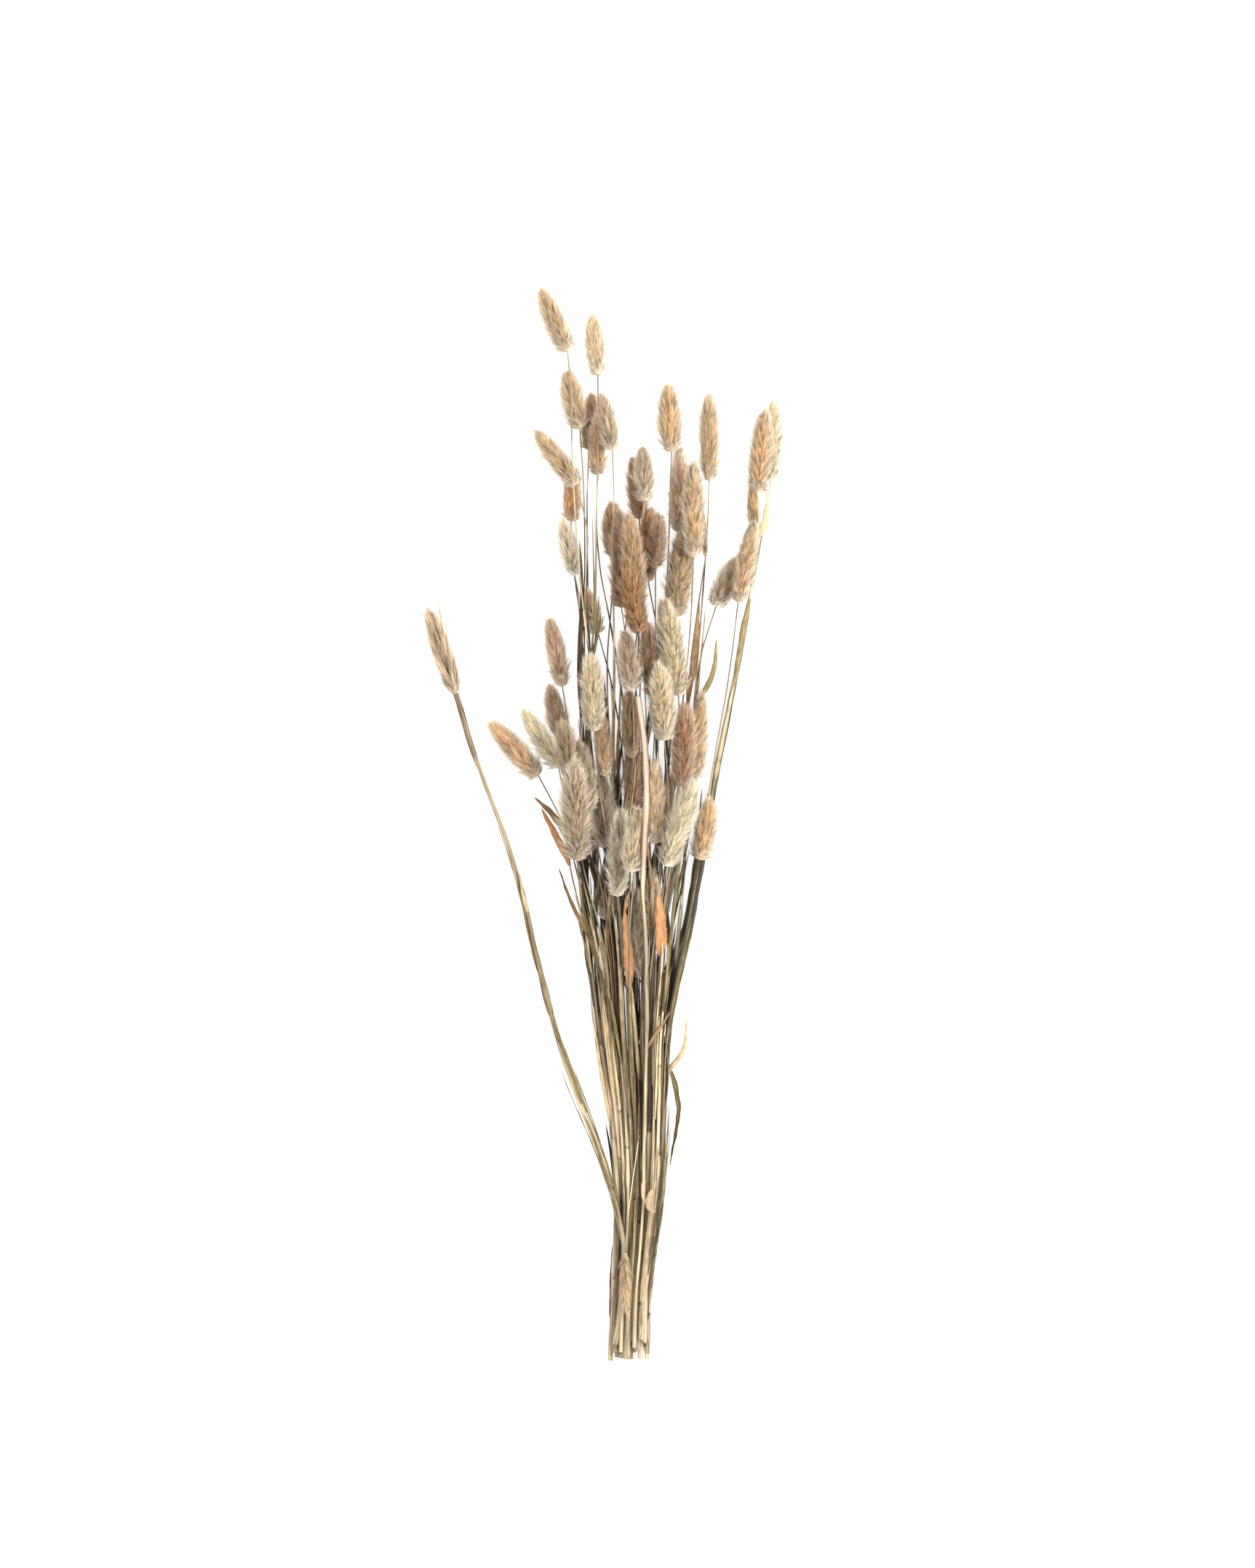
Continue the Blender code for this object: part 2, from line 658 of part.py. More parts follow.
def lane_of(number):
    """The lane of a stalk: those of one layer lie side by side, in the order of their heads."""
    start = (number - 1) // LANES * LANES
    layer = STALKS[start : start + LANES]
    rank = sorted(layer, key=lambda row: row[1][0]).index(STALKS[number - 1])
    shift = LANE_STAGGER if start // LANES % 2 else -LANE_STAGGER
    return (rank + 0.5 + shift) / LANES


def grown_stalks(levels, draw):
    """Every stalk, from the lowest layer to the topmost, not yet laid down."""
    stalks = []
    for number, fields in enumerate(STALKS, 1):
        foot_y = FOOT_Y + draw.uniform(-FOOT_SPREAD, FOOT_SPREAD)
        share = number / len(STALKS)
        foot_radius = FOOT_RADIUS + (FOOT_RADIUS_ON_TOP - FOOT_RADIUS) * share
        feet = [(lane_point(lane_of(number), y), y) for y in (foot_y, *GUIDE_Y)]
        stalks.append(Stalk(fields, levels, feet, foot_radius))
    stalks.append(Stalk(FALLEN_STALK, levels, [FALLEN_FOOT], NECK_RADIUS, upside_down=True))
    return stalks


def lay_down(stalks, levels):
    """Lay each stalk and its leaves on those before it."""
    placed = []
    for number, stalk in enumerate(stalks, 1):
        placed.append(stalk.place(placed))
        for owner, leave_y, route, width, tone in LEAVES:
            if owner == number:
                limb, places = lay_leaf(levels, stalk, leave_y, route, width, placed)
                placed.append(limb)
                stalk.leaves.append((places, width, tone))


def make_stalk(number, stalk, draw, collection):
    """One body from a stalk's stem, head and leaves."""
    name = f"stalk_{number:02d}"
    places, radii, base, tip = stalk.points()
    stem = tube(name, places, radii)
    stem.data.materials.append(finish("straw"))
    others = []
    if stalk.radius:
        others.append(head(name + "_head", base, tip, stalk.radius, draw.uniform(0, math.tau)))
        others[-1].data.materials.append(finish(stalk.tone))
    for index, (route, width, tone) in enumerate(stalk.leaves):
        widths = leaf_widths(len(route), width)
        first_turn = draw.uniform(-LEAF_TILT, LEAF_TILT)
        turns = [first_turn + LEAF_TWIST * k for k in range(len(route))]
        others.append(blade(f"{name}_leaf_{index}", route, widths, turns))
        others[-1].data.materials.append(finish(tone))
    joined = join(name, stem, others, collection)
    joined.name = name
    return joined


def lowest_point(obj):
    """The height of the object's lowest corner."""
    return min(vertex.co.z for vertex in obj.data.vertices)


def centre(objects):
    """Move the meshes so that the origin is in the middle of the bunch, on the surface."""
    corners = np.array([vertex.co for obj in objects for vertex in obj.data.vertices])
    middle = (corners.min(axis=0) + corners.max(axis=0)) / 2
    for obj in objects:
        obj.data.transform(Matrix.Translation((-middle[0], -middle[1], 0)))


def press_flat(objects, block):
    """Cut what is pressed into the surface flat."""
    for obj in objects:
        if lowest_point(obj) < 0:
            cut = obj.modifiers.new("Pressed flat", "BOOLEAN")
            cut.operation = "DIFFERENCE"
            cut.solver = "EXACT"
            cut.object = block


def build():
    """The whole bunch, from an empty scene."""
    for obj in list(bpy.data.objects):
        bpy.data.objects.remove(obj)
    draw = random.Random(SEED)
    levels = np.arange(LOWEST_LEVEL, HIGHEST_LEVEL + LEVEL_STEP, LEVEL_STEP)
    bunch = bpy.data.collections.new("dried_bunny_tail_grass")
    cutters = bpy.data.collections.new("cutters")
    bpy.context.scene.collection.children.link(bunch)
    bpy.context.scene.collection.children.link(cutters)
    stalks = grown_stalks(levels, draw)
    lay_down(stalks, levels)
    made = [make_stalk(number, stalk, draw, bunch) for number, stalk in enumerate(stalks, 1)]
    centre(made)
    press_flat(made, surface_cutter(cutters))


build()
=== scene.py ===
"""Dried bunny tail grass: the straws, the fluffy heads and the dry leaves of the bunch.

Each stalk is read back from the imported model: where its stem runs, where its head
starts and ends, and where its leaves lie. The fine pieces are then made there.
Lengths are in millimetres until a mesh is written.
"""

import json
import math
import random
from functools import partial

import bpy
import numpy as np
from bpy.props import FloatProperty, FloatVectorProperty, IntProperty, IntVectorProperty, PointerProperty
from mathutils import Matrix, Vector


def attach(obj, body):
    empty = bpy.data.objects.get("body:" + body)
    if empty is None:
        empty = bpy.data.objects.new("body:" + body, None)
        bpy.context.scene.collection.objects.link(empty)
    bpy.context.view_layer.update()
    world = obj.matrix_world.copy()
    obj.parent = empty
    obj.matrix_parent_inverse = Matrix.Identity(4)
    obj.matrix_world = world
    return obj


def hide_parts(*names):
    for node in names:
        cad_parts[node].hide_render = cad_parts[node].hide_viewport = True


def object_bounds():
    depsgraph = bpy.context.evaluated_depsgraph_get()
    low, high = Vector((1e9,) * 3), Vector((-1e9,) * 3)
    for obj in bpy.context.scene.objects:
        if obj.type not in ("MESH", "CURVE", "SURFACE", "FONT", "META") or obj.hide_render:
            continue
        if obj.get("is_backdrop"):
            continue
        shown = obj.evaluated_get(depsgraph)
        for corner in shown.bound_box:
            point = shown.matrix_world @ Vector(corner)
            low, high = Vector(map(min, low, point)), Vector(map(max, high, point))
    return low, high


bl_info = {
    "name": "Dried bunny tail grass",
    "version": (1, 0, 0),
    "blender": (4, 5, 0),
    "location": "View3D > Sidebar > Grass",
    "description": "Makes a lying bunch of dried bunny tail grass around its packed model",
    "category": "Add Mesh",
}

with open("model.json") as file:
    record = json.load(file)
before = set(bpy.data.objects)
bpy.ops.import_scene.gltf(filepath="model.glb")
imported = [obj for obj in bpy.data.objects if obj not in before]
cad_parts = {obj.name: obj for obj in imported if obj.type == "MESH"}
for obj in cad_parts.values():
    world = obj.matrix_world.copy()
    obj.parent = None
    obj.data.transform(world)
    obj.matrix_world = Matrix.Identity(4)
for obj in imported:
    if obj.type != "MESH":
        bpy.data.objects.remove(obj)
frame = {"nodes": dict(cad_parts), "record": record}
CAD_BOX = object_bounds()

MM = 0.001
SEED_STEP = 1000
MOST_SEEDS = 10000

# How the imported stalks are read
CUT_STEP = 2.0
FIRST_CUT = 1.0
NEXT_LEVEL = 1.5 * CUT_STEP
WELD_STEPS_PER_MM = 10000
LEAST = 1e-6
LOST_AFTER = 3.2
SLOPE_CUTS = 4
ROUND_STEM = 1.8
FLATNESS_COST = 1.5
MERGED = 1.3
THIN_PERCENTILE = 25
WINDOW = 15
LEAF_GAP = 3.5
SHORTEST_LEAF = 3
HEAD_SHARE = 0.65
THINNEST_HEAD = 2.6
NECK_SHARE = 0.62
NECK_CUTS = 30
HEAD_START = 1.4
HEAD_MIDDLE = (0.1, 0.95)
LEAF_FREE = 1.2
UPSIDE_DOWN = ("stalk_60",)

# The stems' widths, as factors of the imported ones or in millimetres
STEM_SIDES = 8
STEM_STEP = 5.0
FEWEST_STEPS = 4
STEM_SMOOTHING = 2
STEM_ROUNDING = ((-290.0, -190.0, -40.0), (1.04, 1.0, 0.7))
STRAW_ROUNDING = 1.05
STRAW_FOOT_WIDTH = 0.65
NECK_SLIM = 0.9
THIN_STEM = 0.66
SLIM_SPAN = 0.4
STOUT = ("stalk_02", "stalk_03", "stalk_18")
STOUT_ALONG = ((-110.0, -50.0, 120.0, 150.0), (1.0, 1.9, 1.9, 1.0))
STURDY = ("stalk_59",)
STURDY_RADIUS = 1.05
SHEATHED = 38.0
SHEATH_START = 4.0
SHEATH_RADIUS = 1.55
HEAD_GRIP = 0.3

# The rough waves along a stem (depth, pace and phase), its joints, sheaths and hollow foot
ROUGH_WAVES = ((0.05, 0.31, 1), (0.04, 0.83, 2))
HOLLOW_SHARE = 0.62
HOLLOW_DEPTH = 3.0
HOLLOW_SHADE = 0.8
RIM_SHADE = 0.5
FIRST_JOINT = (15, 130)
JOINT_GAP = (90, 170)
SHEATH_SHARE = (0.35, 0.85)
BARE_TOP_SHARE = 0.45
JOINT_ROOM = 2.2
SHEATH_ROOM = 1.0
JOINT_LENGTH = 1.3
JOINT_FOOT = 1.02
JOINT_HUE = 0.1
JOINT_SHADES = (0.25, 0.5)
SHEATH_SPREAD = (0.4, 1.6)
SHEATH_SHIFT = (-0.16, 0.2)
SHEATH_EDGE = 0.4
SHEATH_EDGE_SLIM = 0.98
SHEATH_SHADES = (0.15, 0.4)

# The straws' hues, as marks on one scale of colours
STRAW_HUES = (
    (0.0, (0.12, 0.075, 0.042)),
    (0.2, (0.32, 0.23, 0.14)),
    (0.38, (0.55, 0.44, 0.27)),
    (0.55, (0.77, 0.61, 0.36)),
    (0.72, (0.88, 0.71, 0.42)),
    (0.86, (0.88, 0.69, 0.46)),
    (1.0, (0.78, 0.5, 0.35)),
)
STEM_HUES = (0.24, 0.36, 0.44, 0.52, 0.58, 0.64, 0.71, 0.78)
STEM_HUE_OF = {"stalk_58": 1.25, "stalk_59": 0.3}
HUE_SPREAD = 0.05
STOUT_HUE = 0.44
SHEATH_HUE = 0.08
FOOT_PALE = 0.13
NECK_HUE = 0.31
NECK_FROM = 0.45
NECK_FADE = 0.4
NECK_HOLD = 0.85
PINK_DOWN_TO = -10.0
PINK_FADE = 35.0
STRAW_FOOT_HUE = 0.4

# How stalks hide one another from the light, painted as shade on their colour
CROWD_REACH = 4.0
CROWD_FULL = 5.0
SAME_LEVEL = 0.51 * STEM_STEP
ABOVE_REACH = 2.2
ABOVE_BY = 0.8
ABOVE_FULL = 2.2
FLANK_SHADE = 0.9
FLANK_SPREAD = 1.6
LEAST_CROWD = 0.3
DEEP_SHADE = 0.95
DIM = ((-290.0, -190.0, -110.0, -60.0), (0.5, 0.78, 1.15, 1.3))
SHADE_DEPTH = 0.9
GLOOM = 0.4
GLOOM_REACH = 6.0
GLOOM_BY = 2.0
GLOOM_MARKS = (0.1, 0.3, 0.5, 0.7, 0.9)
GLOOM_TINT = (0.7, 1.0, 1.25)
# Listed amounts that replace the counted shadow: partly painted shadow, partly a head's own darker or paler
# tone.
GLOOM_OF = {
    "stalk_02": -0.1, "stalk_04": -0.3, "stalk_05": -0.3, "stalk_10": -0.45, "stalk_11": -0.3,
    "stalk_17": 0.25, "stalk_37": 0.4, "stalk_41": 0.4, "stalk_43": 0.5, "stalk_48": -0.2,
    "stalk_49": 0.25, "stalk_50": 0.25, "stalk_53": -0.2, "stalk_59": 0.2, "stalk_60": 0.35,
}

# The heads' outlines
CORE_SHARE = 0.62
CORE_END = 0.96
CORE_TIP = 0.05
CORE_RINGS = 14
CORE_SIDES = 16
HEAD_FULLNESS = 0.72
HEAD_ROUNDNESS = 3.4
FULLNESS_SPREAD = (-0.06, 0.08)
ROUNDNESS_SPREAD = (-0.4, 0.5)
HEAD_WIDTH = 1.02
HEAD_WIDTH_OF = {"stalk_59": 0.72, "stalk_60": 0.62}

# The strands of the fluff, whose tips stand at a share of the outline
HAIR_REACH = (0.62, 1.26)
HAIR_HOLD = 0.68
AWN_REACH = (0.85, 1.75)
AWN_TUFTS = 0.25
HOLD_SPREAD = (0.7, 1.1)
LENGTH_SPREAD = (0.65, 1.15)
WIDTH_SPREAD = (0.6, 1.3)
BASE_LENGTH = 0.25
BASE_GROWTH = 5
TUFT_SHARE = 0.8
TIP_TUFT = 0.7
TIP_REACH = (0.82, 1.13)
STRAY = 0.0005
CHANCE_STEP = 10
ROLL = 0.6
LEAN_NOISE = 0.45
LOWEST_HAIR = 0.0001
RAGGED = {"stalk_59": {"Hair density": 0.35, "Awn length": 2.4, "Awn width": 3.2, "Awn density": 0.8}}

# The inputs of the fluff's node tree; the panel sets the strands' sizes
STRAND_SIZES = (
    "Hair density", "Hair width", "Hair length", "Tuft density", "Tuft hold",
    "Awn density", "Awn length", "Awn width",
)
FLUFF_INPUTS = {
    "NodeSocketGeometry": ("Core",),
    "NodeSocketObject": ("Strand",),
    "NodeSocketVector": ("Base", "Axis"),
    "NodeSocketFloat": ("Length", "Radius", "Fullness", "Roundness", *STRAND_SIZES),
    "NodeSocketInt": ("Seed",),
    "NodeSocketMaterial": ("Finish",),
}

# The colours of the fluff, with its painted shade at the roots and painted rim light on the sides
FLUFF_LIFT = {
    "brown": (0.92, 0.66, 0.46),
    "cream": (1.22, 1.25, 1.12),
    "cream_olive": (1.2, 1.1, 1.0),
    "dark_brown": (0.87, 0.57, 0.39),
    "grey_tan": (1.09, 0.93, 0.68),
    "light_tan": (1.07, 0.95, 0.71),
    "olive_grey": (0.91, 0.73, 0.52),
    "orange_tan": (1.18, 1.12, 0.85),
    "rosy_brown": (1.22, 1.0, 0.68),
    "tan": (1.02, 0.94, 0.69),
}
BRIGHTEST = 0.95
WORN = 0.8
WORN_OWN = 0.8
WEAR_FROM = 0.8
WEAR_FADE = 1.6
PALE_TIP = (0.95, 0.84, 0.67)
TIP_OWN = 0.5
FLUFF_PALE = 0.1
FLUFF_TIP = 0.22
AWN_PALE = 0.5
AWN_STRAY = 2.0
FLUFF_ROOT = 0.36
FLUFF_TOP = 1.1
FLUFF_STRAY = 0.8
TUFT_STRAY = 0.75
BASE_LIGHT = 1.05
BASE_FADE = 5.5
RIM = 0.6
# Painted rim light: the strands that face sideways are mixed towards the pale colour.
SIDE_RIM_LIGHT = 1.25
TIP_PALE = 0.35
TIP_FADE = 5
TIP_FROM = 3.5
MOST_PALE = 0.9
OUT_FADE = 1.5

# The straws' light from fine lines and streaks, less a base, and their part in its hue
LINE_LIGHT = 2.4
STREAK_LIGHT = 1.7
BASE_DARK = 0.83
BLOTCH_HUE = 0.55
STREAK_HUE = 0.35

# The leaves' two tones, and their light from veins
LEAF_CONTRAST = 3
LEAF_DARK = 0.6
LEAF_PALE = 1.15
LEAF_LIGHT = 0.45
VEIN_LIGHT = 1.3

# The streaks of straws and leaves: how often they repeat across and along in a millimetre, and their detail
GRAIN_MAP = "Grain"
FINE_LINES = (2.2, 0.03, 3.0)
STREAKS = (0.9, 0.018, 2.0)
STRAW_BLOTCHES = (0.3, 0.045, 3.0)
VEINS = (3.0, 0.04, 3.0)
LEAF_BLOTCHES = (0.3, 0.12, 3.0)

# Leaves
LEAF_HUE = 0.5
LEAF_COLUMNS = 5
LEAF_STEP = 2.5
FEWEST_LEAF_STEPS = 5
LEAF_EDGE_SHADE = 0.25
LEAF_RIPPLE = 0.5
RIPPLE_PACE = 1.7
LEAF_FOOT = 0.35
LEAF_OPENING = 3
LEAF_POINT = 2.5
LEAF_END = 0.04
ROOT_REACH = 3
PLAIN_LIFT = (1.35, 1.18, 1.0)
LEAF_LIFT = {"leaf_orange": (1.0, 1.22, 1.4), "rosy_brown": (1.75, 2.1, 2.1)}
LEAF_WIDER = {"leaf_orange": 1.5}
SLIM_LEAF = {"stalk_58_leaf_1": 0.5}
PLAIN_TONES = ("leaf_brown",)
LEAF_TONES = {
    "stalk_02": ("leaf_olive",), "stalk_05": ("leaf_olive",), "stalk_18": ("leaf_olive", "leaf_pale"),
    "stalk_22": ("leaf_olive", "leaf_pale"), "stalk_51": ("leaf_orange", "leaf_brown"),
    "stalk_53": ("leaf_orange",), "stalk_55": ("leaf_orange",),
    "stalk_58": ("leaf_pale", "leaf_brown"), "stalk_59": ("leaf_pale",),
}

# A curled scrap of leaf: its line on the floor plan, its width and its height over a leaf
SCRAP_ON = "stalk_58"
SCRAP_TONE = "rosy_brown"
SCRAP_LINE = ((27.9, -215.4), (24.9, -211.8), (25.0, -207.0), (26.6, -202.4))
SCRAP_WIDTH = 4.6
SCRAP_LIFT = 1.3
SCRAP_TILT = 0.2
SCRAP_STEP = 1.0

# Ribbons of old leaf along the stems
RIBBON_TONES = ("leaf_pale", "leaf_olive", "leaf_pale", "leaf_brown", "leaf_olive")
RIBBON_SHADE = (-0.2, 0.6)
RIBBON_TOP = 0.72
RIBBON_STEP = 5.0
RIBBON_COLUMNS = 3
RIBBON_OUT = 1.1
RIBBON_CLEAR = 0.3
RIBBON_RISE = 1.2
RIBBON_STEEP = 1.2
RIBBON_DRIFT = (1.0, 5.0)
RIBBON_WAVE = 0.6
RIBBON_WAVES = (3, 8)

# The picture and the stage, in metres
PICTURE_HEIGHT = 0.874
PICTURE_CENTRE = (0.0126, 0.0224)
CAMERA_HEIGHT = 8.0
SENSOR = 36.0
FLOOR_SIZE = 40.0
FLOOR_GAP = 0.0005
KEY_SIZE = (2.5, 2.5)
KEY_PLACE = (2.2, 0.8, 2.6)

STALKS = []
TONES = {row["slot"]: row["base_color"][:3] for row in frame["record"]["materials"]}
SLOT_OF = {row["node"]: row["material_slot"] for row in frame["record"]["subparts"]}


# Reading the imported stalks


def welded(obj, turned):
    """The node's corners in millimetres, merged, and its triangles as corner numbers."""
    mesh = obj.data
    mesh.calc_loop_triangles()
    places = np.empty(len(mesh.vertices) * 3, np.float32)
    mesh.vertices.foreach_get("co", places)
    places = places.reshape(-1, 3).astype(float) / MM * (1, turned, 1)
    corners = np.empty(len(mesh.loop_triangles) * 3, np.int32)
    mesh.loop_triangles.foreach_get("vertices", corners)
    keys = np.round(places * WELD_STEPS_PER_MM).astype(np.int64)
    _, first, number = np.unique(keys, axis=0, return_index=True, return_inverse=True)
    return places[first], number.reshape(-1)[corners].reshape(-1, 3)


class Outline:
    """One closed line where a plane across Y cuts a stalk."""

    def __init__(self, places):
        self.centre = places.mean(axis=0)
        away = places - self.centre
        _, _, axes = np.linalg.svd(away, full_matrices=False)
        reach = away @ axes.T
        self.width, self.depth = reach.max(axis=0) - reach.min(axis=0)
        self.across = axes[0]


def outlines(places, faces, y):
    """The outlines where the plane at y cuts the mesh."""
    above = places[:, 1] > y
    sides = above[faces]
    next_to = {}
    for face in faces[sides.any(axis=1) & ~sides.all(axis=1)]:
        a, b, c = face
        ends = [tuple(sorted(edge)) for edge in ((a, b), (b, c), (c, a)) if above[edge[0]] != above[edge[1]]]
        next_to.setdefault(ends[0], []).append(ends[1])
        next_to.setdefault(ends[1], []).append(ends[0])
    found = []
    while next_to:
        todo = [next(iter(next_to))]
        loop = []
        while todo:
            edge = todo.pop()
            if edge in next_to:
                loop.append(edge)
                todo.extend(next_to.pop(edge))
        ends = places[np.array(loop)]
        share = (y - ends[:, 0, 1]) / (ends[:, 1, 1] - ends[:, 0, 1])
        cut = ends[:, 0] + (ends[:, 1] - ends[:, 0]) * share[:, None]
        found.append(Outline(cut[:, [0, 2]]))
    return found


def chained(levels, loose):
    """Leaf outlines linked from level to level: lists of (y, outline)."""
    chains = []
    for y, found in zip(levels, loose):
        for outline in found:
            best = None
            for chain in chains:
                last_y, last = chain[-1]
                gap = np.linalg.norm(outline.centre - last.centre)
                if 0 < y - last_y < NEXT_LEVEL and gap < LEAF_GAP and (best is None or gap < best[0]):
                    best = (gap, chain)
            if best:
                best[1].append((y, outline))
            else:
                chains.append([(y, outline)])
    return [chain for chain in chains if len(chain) >= SHORTEST_LEAF]


def smoothed(values, rounds):
    """The values with small kinks evened out and both ends kept."""
    values = np.array(values, float)
    for _ in range(rounds):
        values[1:-1] = (values[:-2] + 2 * values[1:-1] + values[2:]) / 4
    return values


def faded(y):
    """How far the bare straw has turned from pink to plain at this height, from 0 to 1."""
    return np.clip((PINK_DOWN_TO - y) / PINK_FADE, 0, 1)


class Stalk:
    """What is read of one node: the stem's points and radii, the head and the leaves."""

    def __init__(self, name, obj):
        self.name = name
        self.turned = -1 if name in UPSIDE_DOWN else 1
        places, faces = welded(obj, self.turned)
        low, high = places[:, 1].min(), places[:, 1].max()
        levels = np.arange(low + FIRST_CUT, high, CUT_STEP)
        track, loose = self.follow(places, faces, levels)
        self.find_head(track, places)
        self.find_stem(track, low)
        self.find_leaves(levels, loose)

    def follow(self, places, faces, levels):
        """The stalk's own outline at each level, and the outlines of what hangs on it."""
        track, loose = [], []
        slope = np.zeros(2)
        lost = False
        for y in levels:
            found = outlines(places, faces, y)
            if not lost:
                expected = track[-1][1].centre + slope * CUT_STEP if track else found[0].centre
                gaps = [np.linalg.norm(outline.centre - expected) for outline in found]
                flat = [max(0.0, outline.width / (outline.depth + LEAST) - ROUND_STEM) for outline in found]
                nearest = int(np.argmin(np.array(gaps) + FLATNESS_COST * np.array(flat)))
                lost = gaps[nearest] > LOST_AFTER
                if not lost:
                    track.append((y, found.pop(nearest)))
            if len(track) > SLOPE_CUTS:
                (low, before), (high, here) = track[-1 - SLOPE_CUTS], track[-1]
                slope = (here.centre - before.centre) / (high - low)
            loose.append(found)
        return track, loose

    def find_head(self, track, places):
        """The head's base, tip and radius, or no head."""
        depth = np.array([outline.depth for _, outline in track])
        start = int(len(track) * HEAD_SHARE)
        thickest = start + int(depth[start:].argmax())
        neck = depth[max(0, thickest - NECK_CUTS) : thickest + 1].min()
        self.has_head = depth[thickest] > THINNEST_HEAD and neck < NECK_SHARE * depth[thickest]
        self.stem_end = len(track) - 1
        if not self.has_head:
            return
        first = thickest
        while first > 0 and depth[first] > HEAD_START * neck:
            first -= 1
        self.stem_end = first
        self.base = self.point(*track[first])
        last = self.point(*track[-1])
        axis = (last - self.base).normalized()
        near = [Vector(place) for place in places if (Vector(place) - last).length < 2 * CUT_STEP]
        reach = max([(place - self.base).dot(axis) for place in near] + [(last - self.base).length])
        self.tip = self.base + axis * reach
        section = max(outline.width for _, outline in track[first + 1 :]) / 2 * axis.y
        away = places - np.array(self.base)
        run = away @ np.array(axis)
        apart = np.linalg.norm(away - run[:, None] * np.array(axis), axis=1)
        start, end = HEAD_MIDDLE
        middle = (run > start * reach) & (run < end * reach) & (apart < LEAF_FREE * section)
        self.radius = apart[middle].max()

    def point(self, y, outline):
        """An outline's middle in space."""
        return Vector((outline.centre[0], y, outline.centre[1]))

    def find_stem(self, track, low):
        """The stem's points from the foot up, evenly spaced and smoothed, with radii."""
        kept = track[: self.stem_end + 1]
        y = np.array([level for level, _ in kept])
        width = np.array([outline.depth for _, outline in kept])
        windows = [width[max(0, k - WINDOW) : k + WINDOW + 1] for k in range(len(kept))]
        plain = width < MERGED * np.array([np.percentile(window, THIN_PERCENTILE) for window in windows])
        plain[0] = True
        centres = np.array([outline.centre for _, outline in kept])
        steps = max(FEWEST_STEPS, round((y[-1] - low) / STEM_STEP))
        level = np.linspace(low, y[-1], steps + 1)
        x = smoothed(np.interp(level, y[plain], centres[plain, 0]), STEM_SMOOTHING)
        z = smoothed(np.interp(level, y[plain], centres[plain, 1]), STEM_SMOOTHING)
        radius = smoothed(np.interp(level, y[plain], width[plain]) / 2, STEM_SMOOTHING)
        self.stem = [Vector(place) for place in zip(x, level, z)]
        slim = NECK_SLIM + (1 - NECK_SLIM) * np.clip((radius - THIN_STEM) / SLIM_SPAN, 0, 1)
        sturdy = not self.has_head or self.name in STURDY
        rounding = STRAW_ROUNDING if sturdy else np.interp(level, *STEM_ROUNDING) * slim
        self.stem_radius = radius * rounding
        if self.name in STURDY:
            sheathed = np.clip((level - y[-1] + SHEATHED) / SHEATH_START, 0, 1)
            least = STURDY_RADIUS + (SHEATH_RADIUS - STURDY_RADIUS) * sheathed
            self.stem_radius = np.maximum(self.stem_radius, least)
        if self.name in STOUT:
            self.stem_radius = self.stem_radius * np.interp(level, *STOUT_ALONG)
        if not self.has_head:
            self.stem_radius = self.stem_radius * (1 - (1 - STRAW_FOOT_WIDTH) * faded(level))

    def find_leaves(self, levels, loose):
        """Each leaf as its points from the stem out, with its width and its width's direction."""
        self.leaves = []
        for chain in chained(levels, loose):
            points = [self.point(*link) for link in chain]
            gaps = [min((place - point).length for place in self.stem) for point in (points[0], points[-1])]
            if gaps[1] < gaps[0]:
                chain, points = chain[::-1], points[::-1]
            sides = [Vector((outline.across[0], 0, outline.across[1])) for _, outline in chain]
            widths = [outline.width for _, outline in chain]
            self.leaves.append((points, sides, widths))

    def upright(self, place):
        """The place in the frame, for a stalk that was read upside down."""
        return Vector((place.x, place.y * self.turned, place.z))


def find_crowds(stalks):
    """For each point of each stem, the amounts of painted shade from the others that stand beside it and lie
    on top, less at the open feet.
    """
    lines = [np.array([stalk.upright(place) for place in stalk.stem]) for stalk in stalks]
    owner = np.concatenate([np.full(len(line), number) for number, line in enumerate(lines)])
    every = np.concatenate(lines)
    for number, (stalk, line) in enumerate(zip(stalks, lines)):
        away = every[owner != number][None, :, :] - line[:, None, :]
        level = abs(away[:, :, 1]) < SAME_LEVEL
        beside = level & (abs(away[:, :, 0]) < CROWD_REACH)
        above = level & (abs(away[:, :, 0]) < ABOVE_REACH) & (away[:, :, 2] > ABOVE_BY)
        dim = np.interp(line[:, 1], *DIM)
        stalk.beside = dim * np.clip(beside.sum(axis=1) / CROWD_FULL, LEAST_CROWD, 1)
        stalk.above = dim * np.clip(above.sum(axis=1) / ABOVE_FULL, 0, 1)


def find_gloom(stalks):
    """How much painted shadow each head takes from the heads on top of it, unless an amount is listed for
    it.
    """
    headed = [stalk for stalk in stalks if stalk.has_head]
    lines = [[stalk.upright(stalk.base.lerp(stalk.tip, mark)) for mark in GLOOM_MARKS] for stalk in headed]
    lines = np.array(lines)
    for number, stalk in enumerate(headed):
        away = np.delete(lines, number, axis=0).reshape(-1, 3)[None, :, :] - lines[number][:, None, :]
        above = (abs(away[:, :, :2]) < GLOOM_REACH).all(axis=2) & (away[:, :, 2] > GLOOM_BY)
        stalk.gloom = GLOOM_OF.get(stalk.name, GLOOM * above.any(axis=1).mean())


# Meshes


def lengths_along(places):
    """The length from the first place to each place of a line."""
    steps = np.linalg.norm(np.diff(places, axis=0), axis=1)
    return np.concatenate([[0], np.cumsum(steps)])


def unit(vectors):
    """Each row as a vector of length one."""
    return vectors / np.linalg.norm(vectors, axis=1, keepdims=True)


class Path:
    """A line through points, read by the length along it."""

    def __init__(self, points):
        self.places = np.array(points, float)
        self.marks = lengths_along(self.places)
        self.length = self.marks[-1]

    def at(self, run, rows=None):
        """The places at these lengths along the line, or other rows that go with its points."""
        rows = self.places if rows is None else rows
        return np.stack([np.interp(run, self.marks, rows[:, k]) for k in range(3)], axis=-1)


